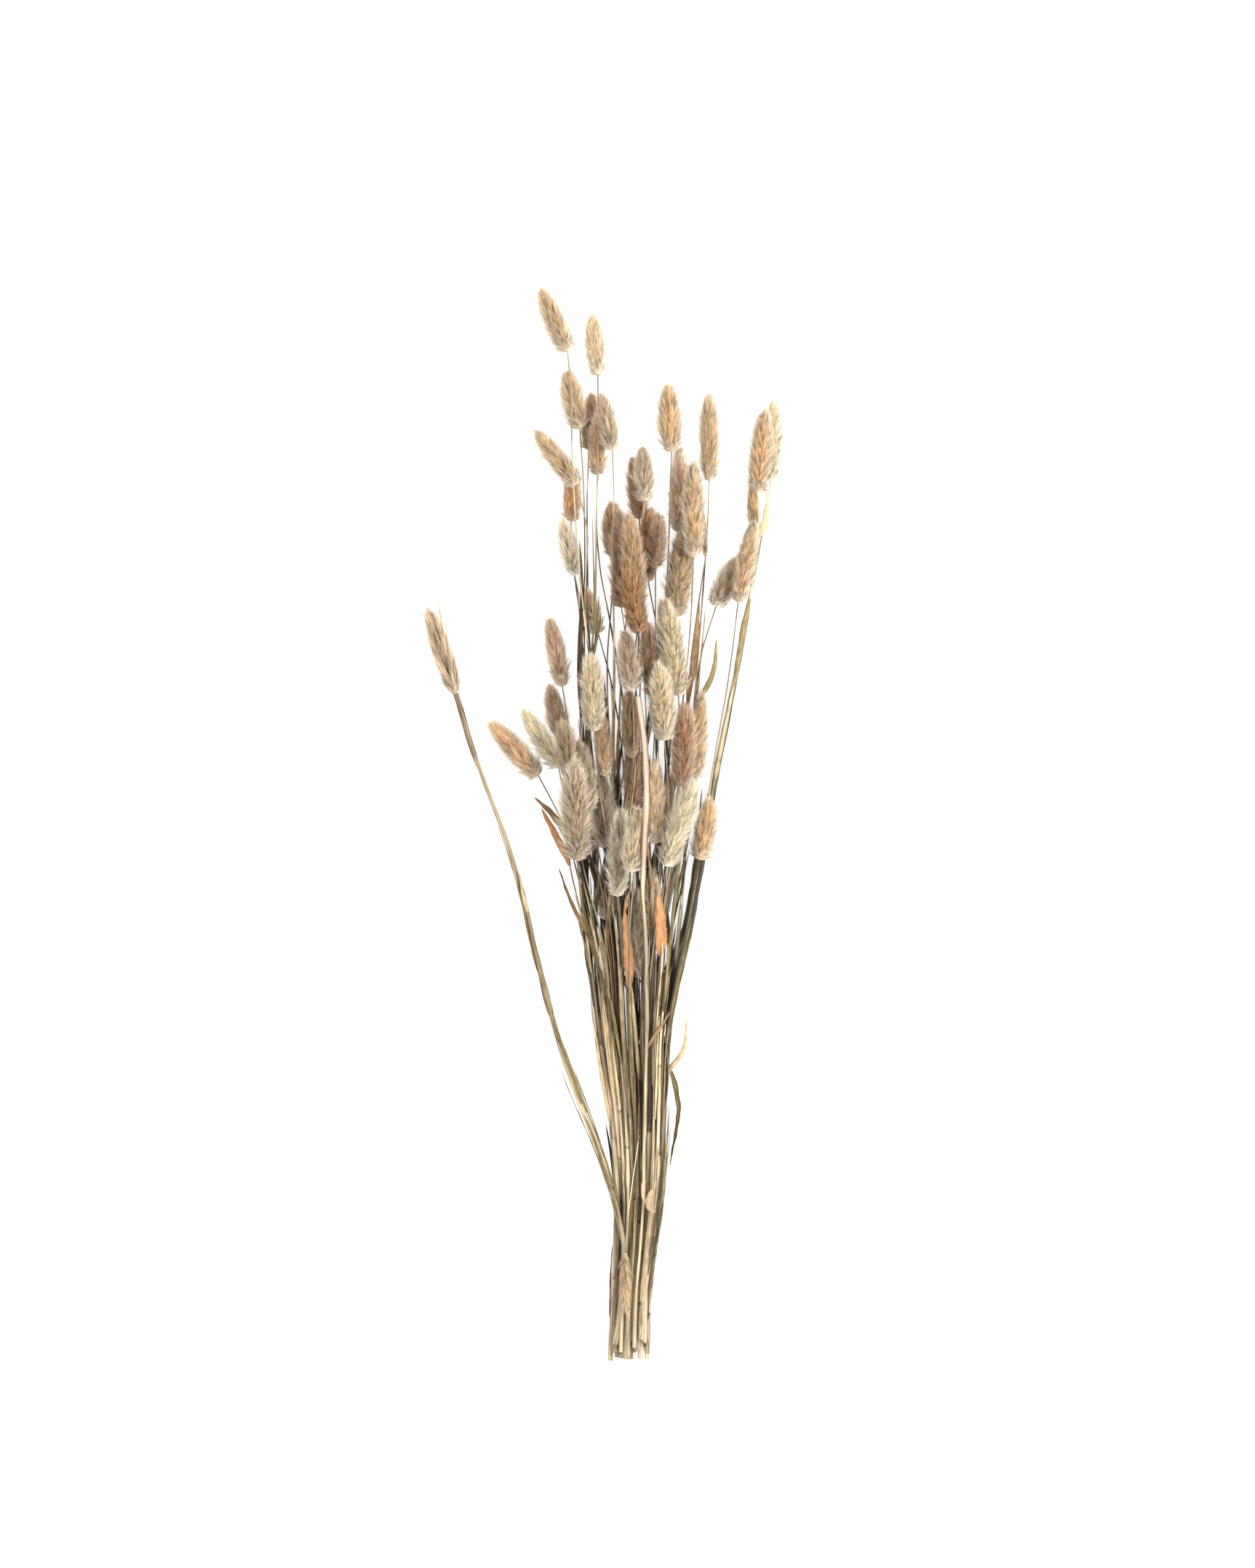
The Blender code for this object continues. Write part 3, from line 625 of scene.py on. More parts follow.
def crosswise(places):
    """Two unit vectors across the line at each place, turned no more than the line turns."""
    ahead = unit(np.gradient(places, axis=0))
    side = np.array((1.0, 0.0, 0.0))
    sides = []
    for along in ahead:
        side = side - along * side.dot(along)
        side /= np.linalg.norm(side)
        sides.append(side)
    return np.array(sides), np.cross(ahead, sides)


class Grain:
    """Corners, faces and what the finish reads from them, gathered for one mesh."""

    def __init__(self):
        self.places, self.faces, self.grain = [], [], []
        self.values = {"hue": [], "shade": []}
        self.count = 0

    def add_rings(self, places, line, across, hue, shade):
        """Rings of corners along a line that closes at both ends, with lengths across for the finish."""
        rows, columns = places.shape[:2]
        self.places.append(places.reshape(-1, 3))
        self.values["hue"].append(np.broadcast_to(np.reshape(hue, (-1, 1)), (rows, columns)).ravel())
        self.values["shade"].append(np.broadcast_to(shade, (rows, columns)).ravel())
        along = lengths_along(line)
        for row in range(rows - 1):
            for column in range(columns):
                after = (column + 1) % columns
                here, above = self.count + row * columns, self.count + (row + 1) * columns
                self.faces.append((here + column, here + after, above + after, above + column))
                ends = ((row, column), (row, column + 1), (row + 1, column + 1), (row + 1, column))
                self.grain += [(across[level][place], along[level]) for level, place in ends]
        for row, order in ((0, -1), (rows - 1, 1)):
            ring = [self.count + row * columns + column for column in range(columns)]
            self.faces.append(tuple(ring[::order]))
            self.grain += [(across[row][column], along[row]) for column in range(columns)]
        self.count += rows * columns

    def mesh(self, name, turned):
        """The mesh in metres."""
        places = np.concatenate(self.places) * (1, turned, 1) * MM
        mesh = bpy.data.meshes.new(name)
        mesh.from_pydata(places.tolist(), [], self.faces)
        grain = mesh.uv_layers.new(name=GRAIN_MAP)
        grain.data.foreach_set("uv", np.array(self.grain, np.float32).ravel())
        for label, values in self.values.items():
            carry(mesh, label, np.concatenate(values))
        if turned < 0:
            mesh.flip_normals()
        mesh.shade_smooth()
        return mesh


def carry(mesh, name, values):
    """A number for each corner, which the finish reads."""
    layer = mesh.attributes.new(name, "FLOAT", "POINT")
    layer.data.foreach_set("value", np.array(values, np.float32))


def add_tube(grain, places, radii, hue, shade, ribs=0.0, sides=STEM_SIDES, beside=0.0):
    """A tube through the places, with fine ribs along it and painted shade on its flanks and underside, more
    where others stand close.
    """
    side, other = crosswise(places)
    turn = np.arange(sides) / sides * math.tau
    ribbed = 1 + ribs * np.where(np.arange(sides) % 2, -1, 1)
    out = side[:, None, :] * np.cos(turn)[None, :, None] + other[:, None, :] * np.sin(turn)[None, :, None]
    corners = places[:, None, :] + out * (radii[:, None] * ribbed[None, :])[:, :, None]
    across = radii[:, None] * np.linspace(0, math.tau, sides + 1)[None, :]
    # Painted shade on the flanks and underside, from the stems that stand close.
    flank = FLANK_SHADE * np.reshape(beside, (-1, 1)) * np.clip(FLANK_SPREAD * (1 - out[:, :, 2]), 0, 1)
    grain.add_rings(corners, places, across, hue, np.reshape(shade, (-1, 1)) + flank)


def add_blade(grain, places, sides, widths, shade, settings, draw, columns):
    """A dry leaf: a thin cupped strip with rippled edges that narrows at both ends."""
    ahead = unit(np.gradient(places, axis=0))
    sides = unit(sides - ahead * (sides * ahead).sum(axis=1, keepdims=True))
    up = np.cross(sides, ahead)
    share = np.linspace(-1, 1, columns)
    phase = draw.uniform(0, math.tau)
    wave = np.sin(np.arange(len(places))[:, None] * RIPPLE_PACE + phase + 2 * share[None, :])
    half = widths[:, None] / 2
    rise = half * settings.cup * share[None, :] ** 2 * (1 + LEAF_RIPPLE * wave)
    top = places[:, None, :] + sides[:, None, :] * (half * share)[:, :, None]
    top = top + up[:, None, :] * rise[:, :, None]
    lift = up[:, None, :] * settings.thickness / MM / 2
    around = np.concatenate([top - lift, (top + lift)[:, ::-1]], axis=1)
    both = np.concatenate([share, share[::-1]])
    across = half * np.append(both, share[0])[None, :]
    grain.add_rings(around, places, across, LEAF_HUE, shade + LEAF_EDGE_SHADE * both**2)


def placed(name, mesh, material, stalk, slot):
    """The finished piece, riding on the bunch and standing for its packed stalk."""
    if material is not None:
        mesh.materials.clear()
        mesh.materials.append(material)
    piece = bpy.data.objects.new(name, mesh)
    bpy.context.scene.collection.objects.link(piece)
    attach(piece, "root")
    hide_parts(stalk.name)


# Node trees


class Graph:
    """A node tree, with one method that adds any node."""

    def __init__(self, tree):
        self.tree = tree

    def node(self, kind, inputs=None, stops=(), **settings):
        """A node of this type, with its settings and then its sockets' values or links."""
        made = self.tree.nodes.new(kind)
        for name, value in settings.items():
            setattr(made, name, value)
        for number, (place, colour) in enumerate(stops):
            marks = made.color_ramp.elements
            mark = marks[number] if number < len(marks) else marks.new(1.0)
            mark.position = place
            mark.color = (*colour, 1)
        self.feed(made, inputs or {})
        return made

    def feed(self, node, inputs):
        """Link a node's sockets, or set their values."""
        for name, value in inputs.items():
            value = value.socket if isinstance(value, Value) else value
            if isinstance(value, bpy.types.NodeSocket):
                self.tree.links.new(value, node.inputs[name])
            else:
                node.inputs[name].default_value = value

    def value(self, kind, inputs=None, output=0, **settings):
        """One output of a new node, ready for sums."""
        return Value(self, self.node(kind, inputs, **settings).outputs[output])

    def math(self, operation, *terms):
        """A Math node on numbers."""
        return self.value("ShaderNodeMath", dict(enumerate(terms)), operation=operation)

    def vector(self, operation, *terms, output=0):
        """A Vector Math node."""
        return self.value("ShaderNodeVectorMath", dict(enumerate(terms)), output, operation=operation)

    def scaled(self, vector, factor):
        """A vector times a number."""
        return self.value("ShaderNodeVectorMath", {0: vector, "Scale": factor}, operation="SCALE")

    def mixed(self, factor, low, high, kind="RGBA", blend="MIX"):
        """A mix of two colours or vectors."""
        first, second, out = {"RGBA": (6, 7, 2), "VECTOR": (4, 5, 1)}[kind]
        inputs = {0: factor, first: low, second: high}
        return self.value("ShaderNodeMix", inputs, out, data_type=kind, blend_type=blend)

    def noise(self, across, along, detail):
        """Noise on the piece's own lengths across and along, in millimetres."""
        grain = self.value("ShaderNodeUVMap", uv_map=GRAIN_MAP)
        stretched = self.value("ShaderNodeMapping", {"Vector": grain, "Scale": (across, along, 1.0)})
        return self.value("ShaderNodeTexNoise", {"Vector": stretched, "Scale": 1.0, "Detail": detail}, "Fac")

    def lit(self, colour, parts):
        """A colour times the light on its red, green and blue."""
        light = self.value("ShaderNodeCombineColor", dict(enumerate(parts)))
        return self.mixed(1.0, colour, light, blend="MULTIPLY")


class Value:
    """A socket of numbers, whose sums are written as Python expressions."""

    def __init__(self, graph, socket):
        self.graph = graph
        self.socket = socket

    def __add__(self, other):
        return self.graph.math("ADD", self, other)

    def __sub__(self, other):
        return self.graph.math("SUBTRACT", self, other)

    def __mul__(self, other):
        return self.graph.math("MULTIPLY", self, other)

    def __truediv__(self, other):
        return self.graph.math("DIVIDE", self, other)

    def __pow__(self, other):
        return self.graph.math("POWER", self, other)

    def __rsub__(self, other):
        return self.graph.math("SUBTRACT", other, self)

    def __abs__(self):
        return self.graph.math("ABSOLUTE", self)

    __radd__ = __add__
    __rmul__ = __mul__


def clamped(value, low=0.0, high=1.0):
    """A number held between two limits."""
    return value.graph.value("ShaderNodeClamp", {0: value, 1: low, 2: high})


# Finishes


def finished(name, write, *given):
    """The material of this name, which the write function fills on its first use."""
    material = bpy.data.materials.get(name)
    if material is None:
        material = bpy.data.materials.new(name)
        material.use_nodes = True
        write(Graph(material.node_tree), material.node_tree.nodes["Principled BSDF"], *given)
    return material


def lifted(tone, lifts):
    """A tone of the record, made lighter or darker for its finish."""
    return tuple(min(BRIGHTEST, part * lift) for part, lift in zip(TONES[tone], lifts.get(tone, PLAIN_LIFT)))


def tinted(colour, factor):
    """A colour times a number, as a socket takes it."""
    return (*(min(1.0, part * factor) for part in colour), 1)


def named(graph, name):
    """A number that the mesh carries."""
    return graph.value("ShaderNodeAttribute", output="Fac", attribute_name=name)


def open_to_light(graph):
    """How much light reaches the piece past its neighbours, painted as shade on its colour together with the
    dark joints that the same number carries.
    """
    return 1 - SHADE_DEPTH * clamped(named(graph, "shade"))


def varied(amount, chance):
    """One, give or take half of the amount."""
    return 1 - amount / 2 + amount * chance


def write_fluff(graph, shader, tone):
    """Dry fluff: painted shade at the roots and under the heads on top, pale tips, painted rim light on the
    sides, each strand a little lighter or darker.
    """
    out, strand, tuft, along = (named(graph, name) for name in ("out", "strand", "tuft", "along"))
    colour = lifted(tone, FLUFF_LIFT)
    grey = sum(colour) / 3
    worn = [WORN_OWN * part + (1 - WORN_OWN) * grey for part in colour]
    body = graph.mixed(clamped(WEAR_FROM - tuft * WEAR_FADE), (*colour, 1), tinted(worn, WORN))
    ends = (*(TIP_OWN * part + (1 - TIP_OWN) * high for part, high in zip(colour, PALE_TIP)), 1)
    body = graph.mixed(clamped(FLUFF_PALE + FLUFF_TIP * out + AWN_PALE * named(graph, "awn")), body, ends)
    base = clamped(1 - along * BASE_FADE)
    # Paler hair at the head's base and tip, and painted rim light on the strands that face sideways.
    rim = base * RIM + SIDE_RIM_LIGHT * named(graph, "side") + TIP_PALE * clamped(along * TIP_FADE - TIP_FROM)
    body = graph.mixed(clamped(rim, 0.0, MOST_PALE), body, (*PALE_TIP, 1))
    # Painted shade deep in the fluff: each strand is lit less at its root than at its tip.
    light = FLUFF_ROOT + (FLUFF_TOP - FLUFF_ROOT) * clamped(out * OUT_FADE)
    light = light * varied(FLUFF_STRAY, strand) * varied(TUFT_STRAY, tuft)
    light = graph.math("MAXIMUM", light, base * BASE_LIGHT)
    # Painted shadow from the heads on top, darker in blue than in red.
    gloom = named(graph, "gloom")
    shader.subsurface_method = "BURLEY"
    graph.feed(shader, {
        "Base Color": graph.lit(body, [light * (1 - depth * gloom) for depth in GLOOM_TINT]),
        "Roughness": 0.85,
        "Specular IOR Level": 0.15,
        "Sheen Weight": 0.35,
        "Sheen Tint": ends,
        "Sheen Roughness": 0.35,
        "Subsurface Weight": 0.4,
        "Subsurface Radius": (1.0, 0.9, 0.8),
        "Subsurface Scale": 0.001,
    })


def write_straw(graph, shader):
    """Dry straw: hue from pale cream to brown, streaks along it and dark joints."""
    lines, streaks, blotches = (graph.noise(*kind) for kind in (FINE_LINES, STREAKS, STRAW_BLOTCHES))
    hue = clamped(named(graph, "hue") + BLOTCH_HUE * (blotches - 0.5) + STREAK_HUE * (streaks - 0.5))
    colour = graph.value("ShaderNodeValToRGB", {"Fac": hue}, stops=STRAW_HUES)
    light = (LINE_LIGHT * lines + STREAK_LIGHT * streaks - BASE_DARK) * open_to_light(graph)
    graph.feed(shader, {
        "Base Color": graph.lit(colour, (light, light, light)),
        "Roughness": 0.5 + 0.3 * streaks,
        "Normal": graph.value("ShaderNodeBump", {"Strength": 0.7, "Distance": 0.0003, "Height": lines}),
        "Specular IOR Level": 0.35,
    })


def write_leaf(graph, shader, tone):
    """A dry papery leaf: veins along it, blotches, and a slight sheen."""
    veins, blotches = graph.noise(*VEINS), graph.noise(*LEAF_BLOTCHES)
    colour = lifted(tone, LEAF_LIFT)
    patches = clamped(blotches * LEAF_CONTRAST - 1)
    body = graph.mixed(patches, tinted(colour, LEAF_DARK), tinted(colour, LEAF_PALE))
    light = (LEAF_LIGHT + VEIN_LIGHT * veins) * open_to_light(graph)
    graph.feed(shader, {
        "Base Color": graph.lit(body, (light, light, light)),
        "Roughness": 0.45 + 0.3 * blotches,
        "Normal": graph.value("ShaderNodeBump", {"Strength": 0.6, "Distance": 0.0002, "Height": veins}),
        "Specular IOR Level": 0.3,
    })


def write_floor(graph, shader, settings):
    """A plain pale floor with a glow of its own."""
    graph.feed(shader, {
        "Base Color": (*settings.floor_colour, 1),
        "Roughness": 0.9,
        "Emission Color": (1, 1, 1, 1),
        "Emission Strength": settings.floor_glow,
    })


# The fluff's node tree


def fur_tree():
    """Strands on a head's core, gathered in tufts, that end on the head's oval outline."""
    tree = bpy.data.node_groups.new("Fluff", "GeometryNodeTree")
    tree.is_modifier = True
    for kind, names in FLUFF_INPUTS.items():
        for name in names:
            tree.interface.new_socket(name=name, in_out="INPUT", socket_type=kind)
    tree.interface.new_socket(name="Fluff", in_out="OUTPUT", socket_type="NodeSocketGeometry")
    graph = Graph(tree)
    sockets = graph.node("NodeGroupInput").outputs
    given = {socket.name: Value(graph, socket) for socket in sockets if socket.name}
    hairs = hair_layer(graph, given, tuft_points(graph, given, 1.0), "Hair", HAIR_REACH, HAIR_HOLD, 1)
    awns = hair_layer(graph, given, tuft_points(graph, given, AWN_TUFTS), "Awn", AWN_REACH, 1.0, 2)
    solid = graph.node("GeometryNodeRealizeInstances", {0: joined(graph, hairs, awns)})
    core = stored(graph, given["Core"], "lean", graph.value("GeometryNodeInputNormal"), "FLOAT_VECTOR")
    both = joined(graph, core, solid.outputs[0])
    above = graph.vector("MAXIMUM", graph.value("GeometryNodeInputPosition"), (-1.0, -1.0, LOWEST_HAIR))
    rested = graph.value("GeometryNodeSetPosition", {"Geometry": both, "Position": above})
    dressed = graph.value("GeometryNodeSetMaterial", {"Geometry": rested, "Material": given["Finish"]})
    graph.node("NodeGroupOutput", {0: dressed})
    return tree


def joined(graph, *layers):
    """Several geometries as one."""
    node = graph.node("GeometryNodeJoinGeometry")
    for layer in layers:
        graph.feed(node, {0: layer})
    return node.outputs[0]


def scattered(graph, mesh, density, seed):
    """Points strewn over a mesh."""
    inputs = {"Mesh": mesh, "Density": density, "Seed": seed}
    return graph.node("GeometryNodeDistributePointsOnFaces", inputs).outputs["Points"]


def tuft_points(graph, given, share):
    """The middles of the tufts that strands lean to."""
    return scattered(graph, given["Core"], given["Tuft density"] * share, given["Seed"])


def stored(graph, geometry, name, value, kind="FLOAT"):
    """The geometry with a value that its points carry."""
    inputs = {"Geometry": geometry, "Name": name, "Value": value}
    made = graph.node("GeometryNodeStoreNamedAttribute", inputs, data_type=kind, domain="POINT")
    return made.outputs["Geometry"]


def random_value(graph, low, high, seed=0):
    """A random number or vector for each point."""
    kind, first, output = ("FLOAT_VECTOR", 0, 0) if isinstance(low, tuple) else ("FLOAT", 2, 1)
    inputs = {first: low, first + 1: high, "Seed": seed}
    return graph.value("FunctionNodeRandomValue", inputs, output, data_type=kind)


def hair_layer(graph, given, tufts, kind, limits, held, step):
    """One kind of strand: instances on the core, each turned and stretched to its tip."""
    seed = given["Seed"] + step
    points = scattered(graph, given["Core"], given[kind + " density"], seed)
    root = graph.value("GeometryNodeInputPosition")
    nearest = graph.value("GeometryNodeSampleNearest", {"Geometry": tufts}, domain="POINT")

    def of_tuft(value, kind):
        inputs = {"Geometry": tufts, "Value": value, "Index": nearest}
        return graph.value("GeometryNodeSampleIndex", inputs, domain="POINT", data_type=kind)

    def chance(low, high, number):
        return random_value(graph, low, high, seed + CHANCE_STEP * number)

    tuft = of_tuft(random_value(graph, 0.0, 1.0), "FLOAT")
    hold = given["Tuft hold"] * chance(*(held * limit for limit in HOLD_SPREAD), 1)
    steered = graph.mixed(hold, root, of_tuft(root, "FLOAT_VECTOR"), "VECTOR")
    radial, share = around_axis(graph, given, steered)
    _, own_share = around_axis(graph, given, root)
    reach = given[kind + " length"] / given["Length"]
    grown = BASE_LENGTH + (1 - BASE_LENGTH) * clamped(share * BASE_GROWTH)
    reach = reach * grown * chance(*LENGTH_SPREAD, 2)
    standing = TUFT_SHARE * tuft + (1 - TUFT_SHARE) * chance(0.0, 1.0, 3)
    ahead = graph.math("MINIMUM", share + reach, between(TIP_REACH, standing))
    folded = abs(2 * clamped(ahead) ** given["Fullness"] - 1)
    swell = graph.math("SQRT", 1 - folded ** given["Roundness"])
    swell = graph.math("MAXIMUM", swell, TIP_TUFT * chance(0.0, 1.0, 6))
    out = graph.scaled(radial, given["Radius"] * swell * between(limits, standing))
    run = combined(graph, [ahead * given["Length"]] * 3)
    tip = graph.vector("MULTIPLY_ADD", given["Axis"], run, given["Base"])
    stray = chance((-STRAY,) * 3, (STRAY,) * 3, 5)
    tip = graph.vector("ADD", graph.vector("ADD", tip, out), stray)
    way = graph.vector("SUBTRACT", tip, root)
    long = graph.vector("LENGTH", way, output="Value")
    rolled = graph.vector("ADD", radial, graph.scaled(stray, ROLL / STRAY))
    facing = graph.value("FunctionNodeAlignRotationToVector", {"Vector": way}, axis="Z")
    facing = {"Rotation": facing, "Vector": rolled}
    facing = graph.value("FunctionNodeAlignRotationToVector", facing, axis="Y", pivot_axis="Z")
    width = given[kind + " width"] * chance(*WIDTH_SPREAD, 4)
    lean = graph.vector("ADD", radial, graph.scaled(stray, LEAN_NOISE / STRAY))
    # How much a strand faces sideways, on which the finish paints rim light.
    upward = abs(graph.vector("DOT_PRODUCT", radial, (0.0, 0.0, 1.0), output="Value"))
    carried = {
        "side": 1 - upward,
        "strand": chance(0.0, 1.0, 5),
        "tuft": tuft,
        "along": own_share,
        "awn": chance(0.0, AWN_STRAY * (kind == "Awn"), 8),
    }
    points = stored(graph, points, "lean", lean, "FLOAT_VECTOR")
    for name, value in carried.items():
        points = stored(graph, points, name, value)
    strand = graph.node("GeometryNodeObjectInfo", {"Object": given["Strand"]}, transform_space="ORIGINAL")
    return graph.node("GeometryNodeInstanceOnPoints", {
        "Points": points,
        "Instance": strand.outputs["Geometry"],
        "Rotation": facing,
        "Scale": combined(graph, [width, long, long]),
    }).outputs["Instances"]


def between(limits, share):
    """The number at this share of the way from one limit to the other."""
    return limits[0] + (limits[1] - limits[0]) * share


def combined(graph, parts):
    """Three numbers as a vector."""
    return graph.value("ShaderNodeCombineXYZ", dict(enumerate(parts)))


def around_axis(graph, given, place):
    """The direction out from the head's axis at a place, and its share along the head."""
    away = graph.vector("SUBTRACT", place, given["Base"])
    run = graph.vector("DOT_PRODUCT", away, given["Axis"], output="Value")
    radial = graph.vector("SUBTRACT", away, graph.scaled(given["Axis"], run))
    return graph.vector("NORMALIZE", radial), run / given["Length"]


def strand_object():
    """One strand: a narrow pointed blade, one unit long, that faces +Y."""
    mesh = bpy.data.meshes.new("strand")
    corners = [(0.5, 0, 0), (-0.5, 0, 0), (0, 0, 1)]
    mesh.from_pydata(corners, [], [(0, 1, 2)])
    carry(mesh, "out", [corner[2] for corner in corners])
    strand = bpy.data.objects.new("strand", mesh)
    bpy.context.scene.collection.objects.link(strand)
    return strand


def head_swell(share, fullness, roundness):
    """The outline's radius from 0 at the base to 1 at its widest and 0 at the tip."""
    share = np.clip(share, 0, 1)
    return np.sqrt(1 - np.abs(2 * share**fullness - 1) ** roundness)


def head_radius(stalk):
    """The head's radius with its fluff."""
    return stalk.radius * HEAD_WIDTH_OF.get(stalk.name, HEAD_WIDTH)


def head_core(name, stalk, fullness, roundness):
    """The head's slim body, on which the strands stand."""
    base, tip = stalk.upright(stalk.base), stalk.upright(stalk.tip)
    share = (1 - np.cos(np.linspace(0, math.pi, CORE_RINGS + 1))) / 2 * CORE_END
    places = np.array([base.lerp(tip, s) for s in share])
    radii = head_radius(stalk) * CORE_SHARE * head_swell(share / CORE_END, fullness, roundness)
    radii[0] = radii[-1] = stalk.radius * CORE_TIP
    grain = Grain()
    add_tube(grain, places, radii, 0.0, 0.0, sides=CORE_SIDES)
    mesh = grain.mesh(name, 1)
    carry(mesh, "along", np.repeat(share, CORE_SIDES))
    return mesh


# What a user may change

Share = partial(FloatProperty, subtype="FACTOR")
Length = partial(FloatProperty, unit="LENGTH", precision=5)
Lengths = partial(FloatVectorProperty, size=2, unit="LENGTH", precision=4)


class StemSettings(bpy.types.PropertyGroup):
    """The straws' sizes."""

    joint_swell: Share(name="Joint swell", description="How much thicker a joint is", default=0.14)
    sheath_swell: Share(name="Sheath swell", description="How much thicker a sheath is", default=0.2)
    rib_depth: Share(name="Rib depth", description="Depth of the ribs, a share of the radius", default=0.05)
    seed: IntProperty(name="Seed", description="Where joints and sheaths fall", default=4)


class FluffSettings(bpy.types.PropertyGroup):
    """The heads' hairs."""

    hair_density: FloatProperty(name="Hair density", description="Hairs per square millimetre", default=9.5)
    hair_width: Length(name="Hair width", description="Width of a hair at its root", default=0.0003)
    hair_length: Length(name="Hair length", description="Length of a hair", default=0.0043)
    tuft_density: FloatProperty(name="Tuft density", description="Tufts per square millimetre", default=0.65)
    tuft_hold: Share(name="Tuft hold", description="How far hairs lean to their tuft's middle", default=0.9)
    awn_density: FloatProperty(name="Awn density", description="Awns per square millimetre", default=2.6)
    awn_length: Length(name="Awn length", description="Length of an awn", default=0.008)
    awn_width: Length(name="Awn width", description="Width of an awn", default=0.00027)
    seed: IntProperty(name="Seed", description="Where hairs fall", default=7)


class LeafSettings(bpy.types.PropertyGroup):
    """The dry leaves."""

    thickness: Length(name="Thickness", description="Thickness of a dry leaf", default=0.00025)
    cup: FloatProperty(name="Cup", description="Rise of its edges, a share of half its width", default=0.35)
    seed: IntProperty(name="Seed", description="How the leaves ripple", default=3)


class RibbonSettings(bpy.types.PropertyGroup):
    """Old leaves along the stems."""

    count: IntVectorProperty(name="Ribbons", description="Fewest and most on a stem", default=(5, 8), size=2)
    length: Lengths(name="Length", description="Shortest and longest old leaf", default=(0.025, 0.11))
    width: Lengths(name="Width", description="Narrowest and widest old leaf", default=(0.0008, 0.0024))
    thickness: Length(name="Thickness", description="Thickness of an old leaf", default=0.00025)
    cup: FloatProperty(name="Cup", description="Rise of its edges, a share of half its width", default=-0.45)
    seed: IntProperty(name="Seed", description="Where old leaves fall", default=5)


class StageSettings(bpy.types.PropertyGroup):
    """The floor and the light."""

    floor_colour: FloatVectorProperty(
        name="Floor colour", description="Colour of the floor", default=(0.55, 0.55, 0.548), subtype="COLOR"
    )
    floor_glow: FloatProperty(name="Floor glow", description="Light that softens the shadows", default=0.8)
    sky_strength: FloatProperty(name="Sky strength", description="Light from all round", default=1.1)
    key_power: FloatProperty(name="Key power", description="Power of the large side light", default=95.0)


class GrassSettings(bpy.types.PropertyGroup):
    """All settings of the bunch."""

    stems: PointerProperty(type=StemSettings)
    fluff: PointerProperty(type=FluffSettings)
    leaves: PointerProperty(type=LeafSettings)
    ribbons: PointerProperty(type=RibbonSettings)
    stage: PointerProperty(type=StageSettings)


# The operators


class GRASS_OT_stems(bpy.types.Operator):
    """Make the straws with their joints, sheaths and hollow cut ends"""

    bl_idname = "grass.stems"
    bl_label = "Make the stems"

    def execute(self, context):
        settings = context.scene.grass.stems
        for stalk, draw in drawn(settings):
            mesh = stem_mesh(stalk, settings, draw)
            placed(stalk.name + "_stem", mesh, finished("straw_stems", write_straw), stalk, "straw")
        return {"FINISHED"}


class GRASS_OT_heads(bpy.types.Operator):
    """Make the fluffy heads"""

    bl_idname = "grass.heads"
    bl_label = "Make the heads"

    def execute(self, context):
        settings = context.scene.grass.fluff
        tree = fur_tree()
        strand = strand_object()
        for stalk, draw in drawn(settings):
            if stalk.has_head:
                make_head(stalk, settings, tree, strand, draw)
        bpy.data.objects.remove(strand)
        return {"FINISHED"}


class GRASS_OT_leaves(bpy.types.Operator):
    """Make the dry leaves"""

    bl_idname = "grass.leaves"
    bl_label = "Make the leaves"

    def execute(self, context):
        settings = context.scene.grass.leaves
        for stalk, draw in drawn(settings):
            for index, leaf in enumerate(stalk.leaves):
                name = f"{stalk.name}_leaf_{index + 1}"
                tones = LEAF_TONES.get(stalk.name, PLAIN_TONES)
                tone = tones[min(index, len(tones) - 1)]
                wider = LEAF_WIDER.get(tone, 1.0) * SLIM_LEAF.get(name, 1.0)
                grain = Grain()
                points, sides, widths = rooted(stalk, leaf)
                add_leaf(grain, points, sides, max(widths) * wider, settings, draw)
                placed_leaf(name, grain, stalk, tone)
            if stalk.name == SCRAP_ON:
                placed_leaf(stalk.name + "_scrap", scrap(stalk, settings, draw), stalk, SCRAP_TONE)
        return {"FINISHED"}


class GRASS_OT_ribbons(bpy.types.Operator):
    """Make the narrow old leaves that lie along the stems"""

    bl_idname = "grass.ribbons"
    bl_label = "Make the ribbons"

    def execute(self, context):
        settings = context.scene.grass.ribbons
        for stalk, draw in drawn(settings):
            leaves = ribbon_leaves(stalk, settings, draw) if stalk.has_head and stalk.turned > 0 else []
            if leaves:
                tone = draw.choice(RIBBON_TONES)
                grain = Grain()
                for points, across, wide, shade in leaves:
                    add_leaf(grain, points, across, wide, settings, draw, RIBBON_STEP, RIBBON_COLUMNS, shade)
                placed_leaf(stalk.name + "_ribbons", grain, stalk, tone)
        return {"FINISHED"}


class GRASS_OT_stage(bpy.types.Operator):
    """Make the floor, the soft light and the camera"""

    bl_idname = "grass.stage"
    bl_label = "Make the stage"

    def execute(self, context):
        settings = context.scene.grass.stage
        make_floor(settings)
        make_light(context.scene, settings)
        make_camera(context.scene)
        return {"FINISHED"}


def read_stalks():
    """Every stalk of the frame, read once."""
    if not STALKS:
        STALKS.extend(Stalk(name, frame["nodes"][name]) for name in sorted(frame["nodes"]))
        find_crowds(STALKS)
        find_gloom(STALKS)
    return STALKS


def drawn(settings):
    """Each stalk, with random numbers of its own."""
    for number, stalk in enumerate(read_stalks(), 1):
        yield stalk, random.Random(settings.seed * SEED_STEP + number)


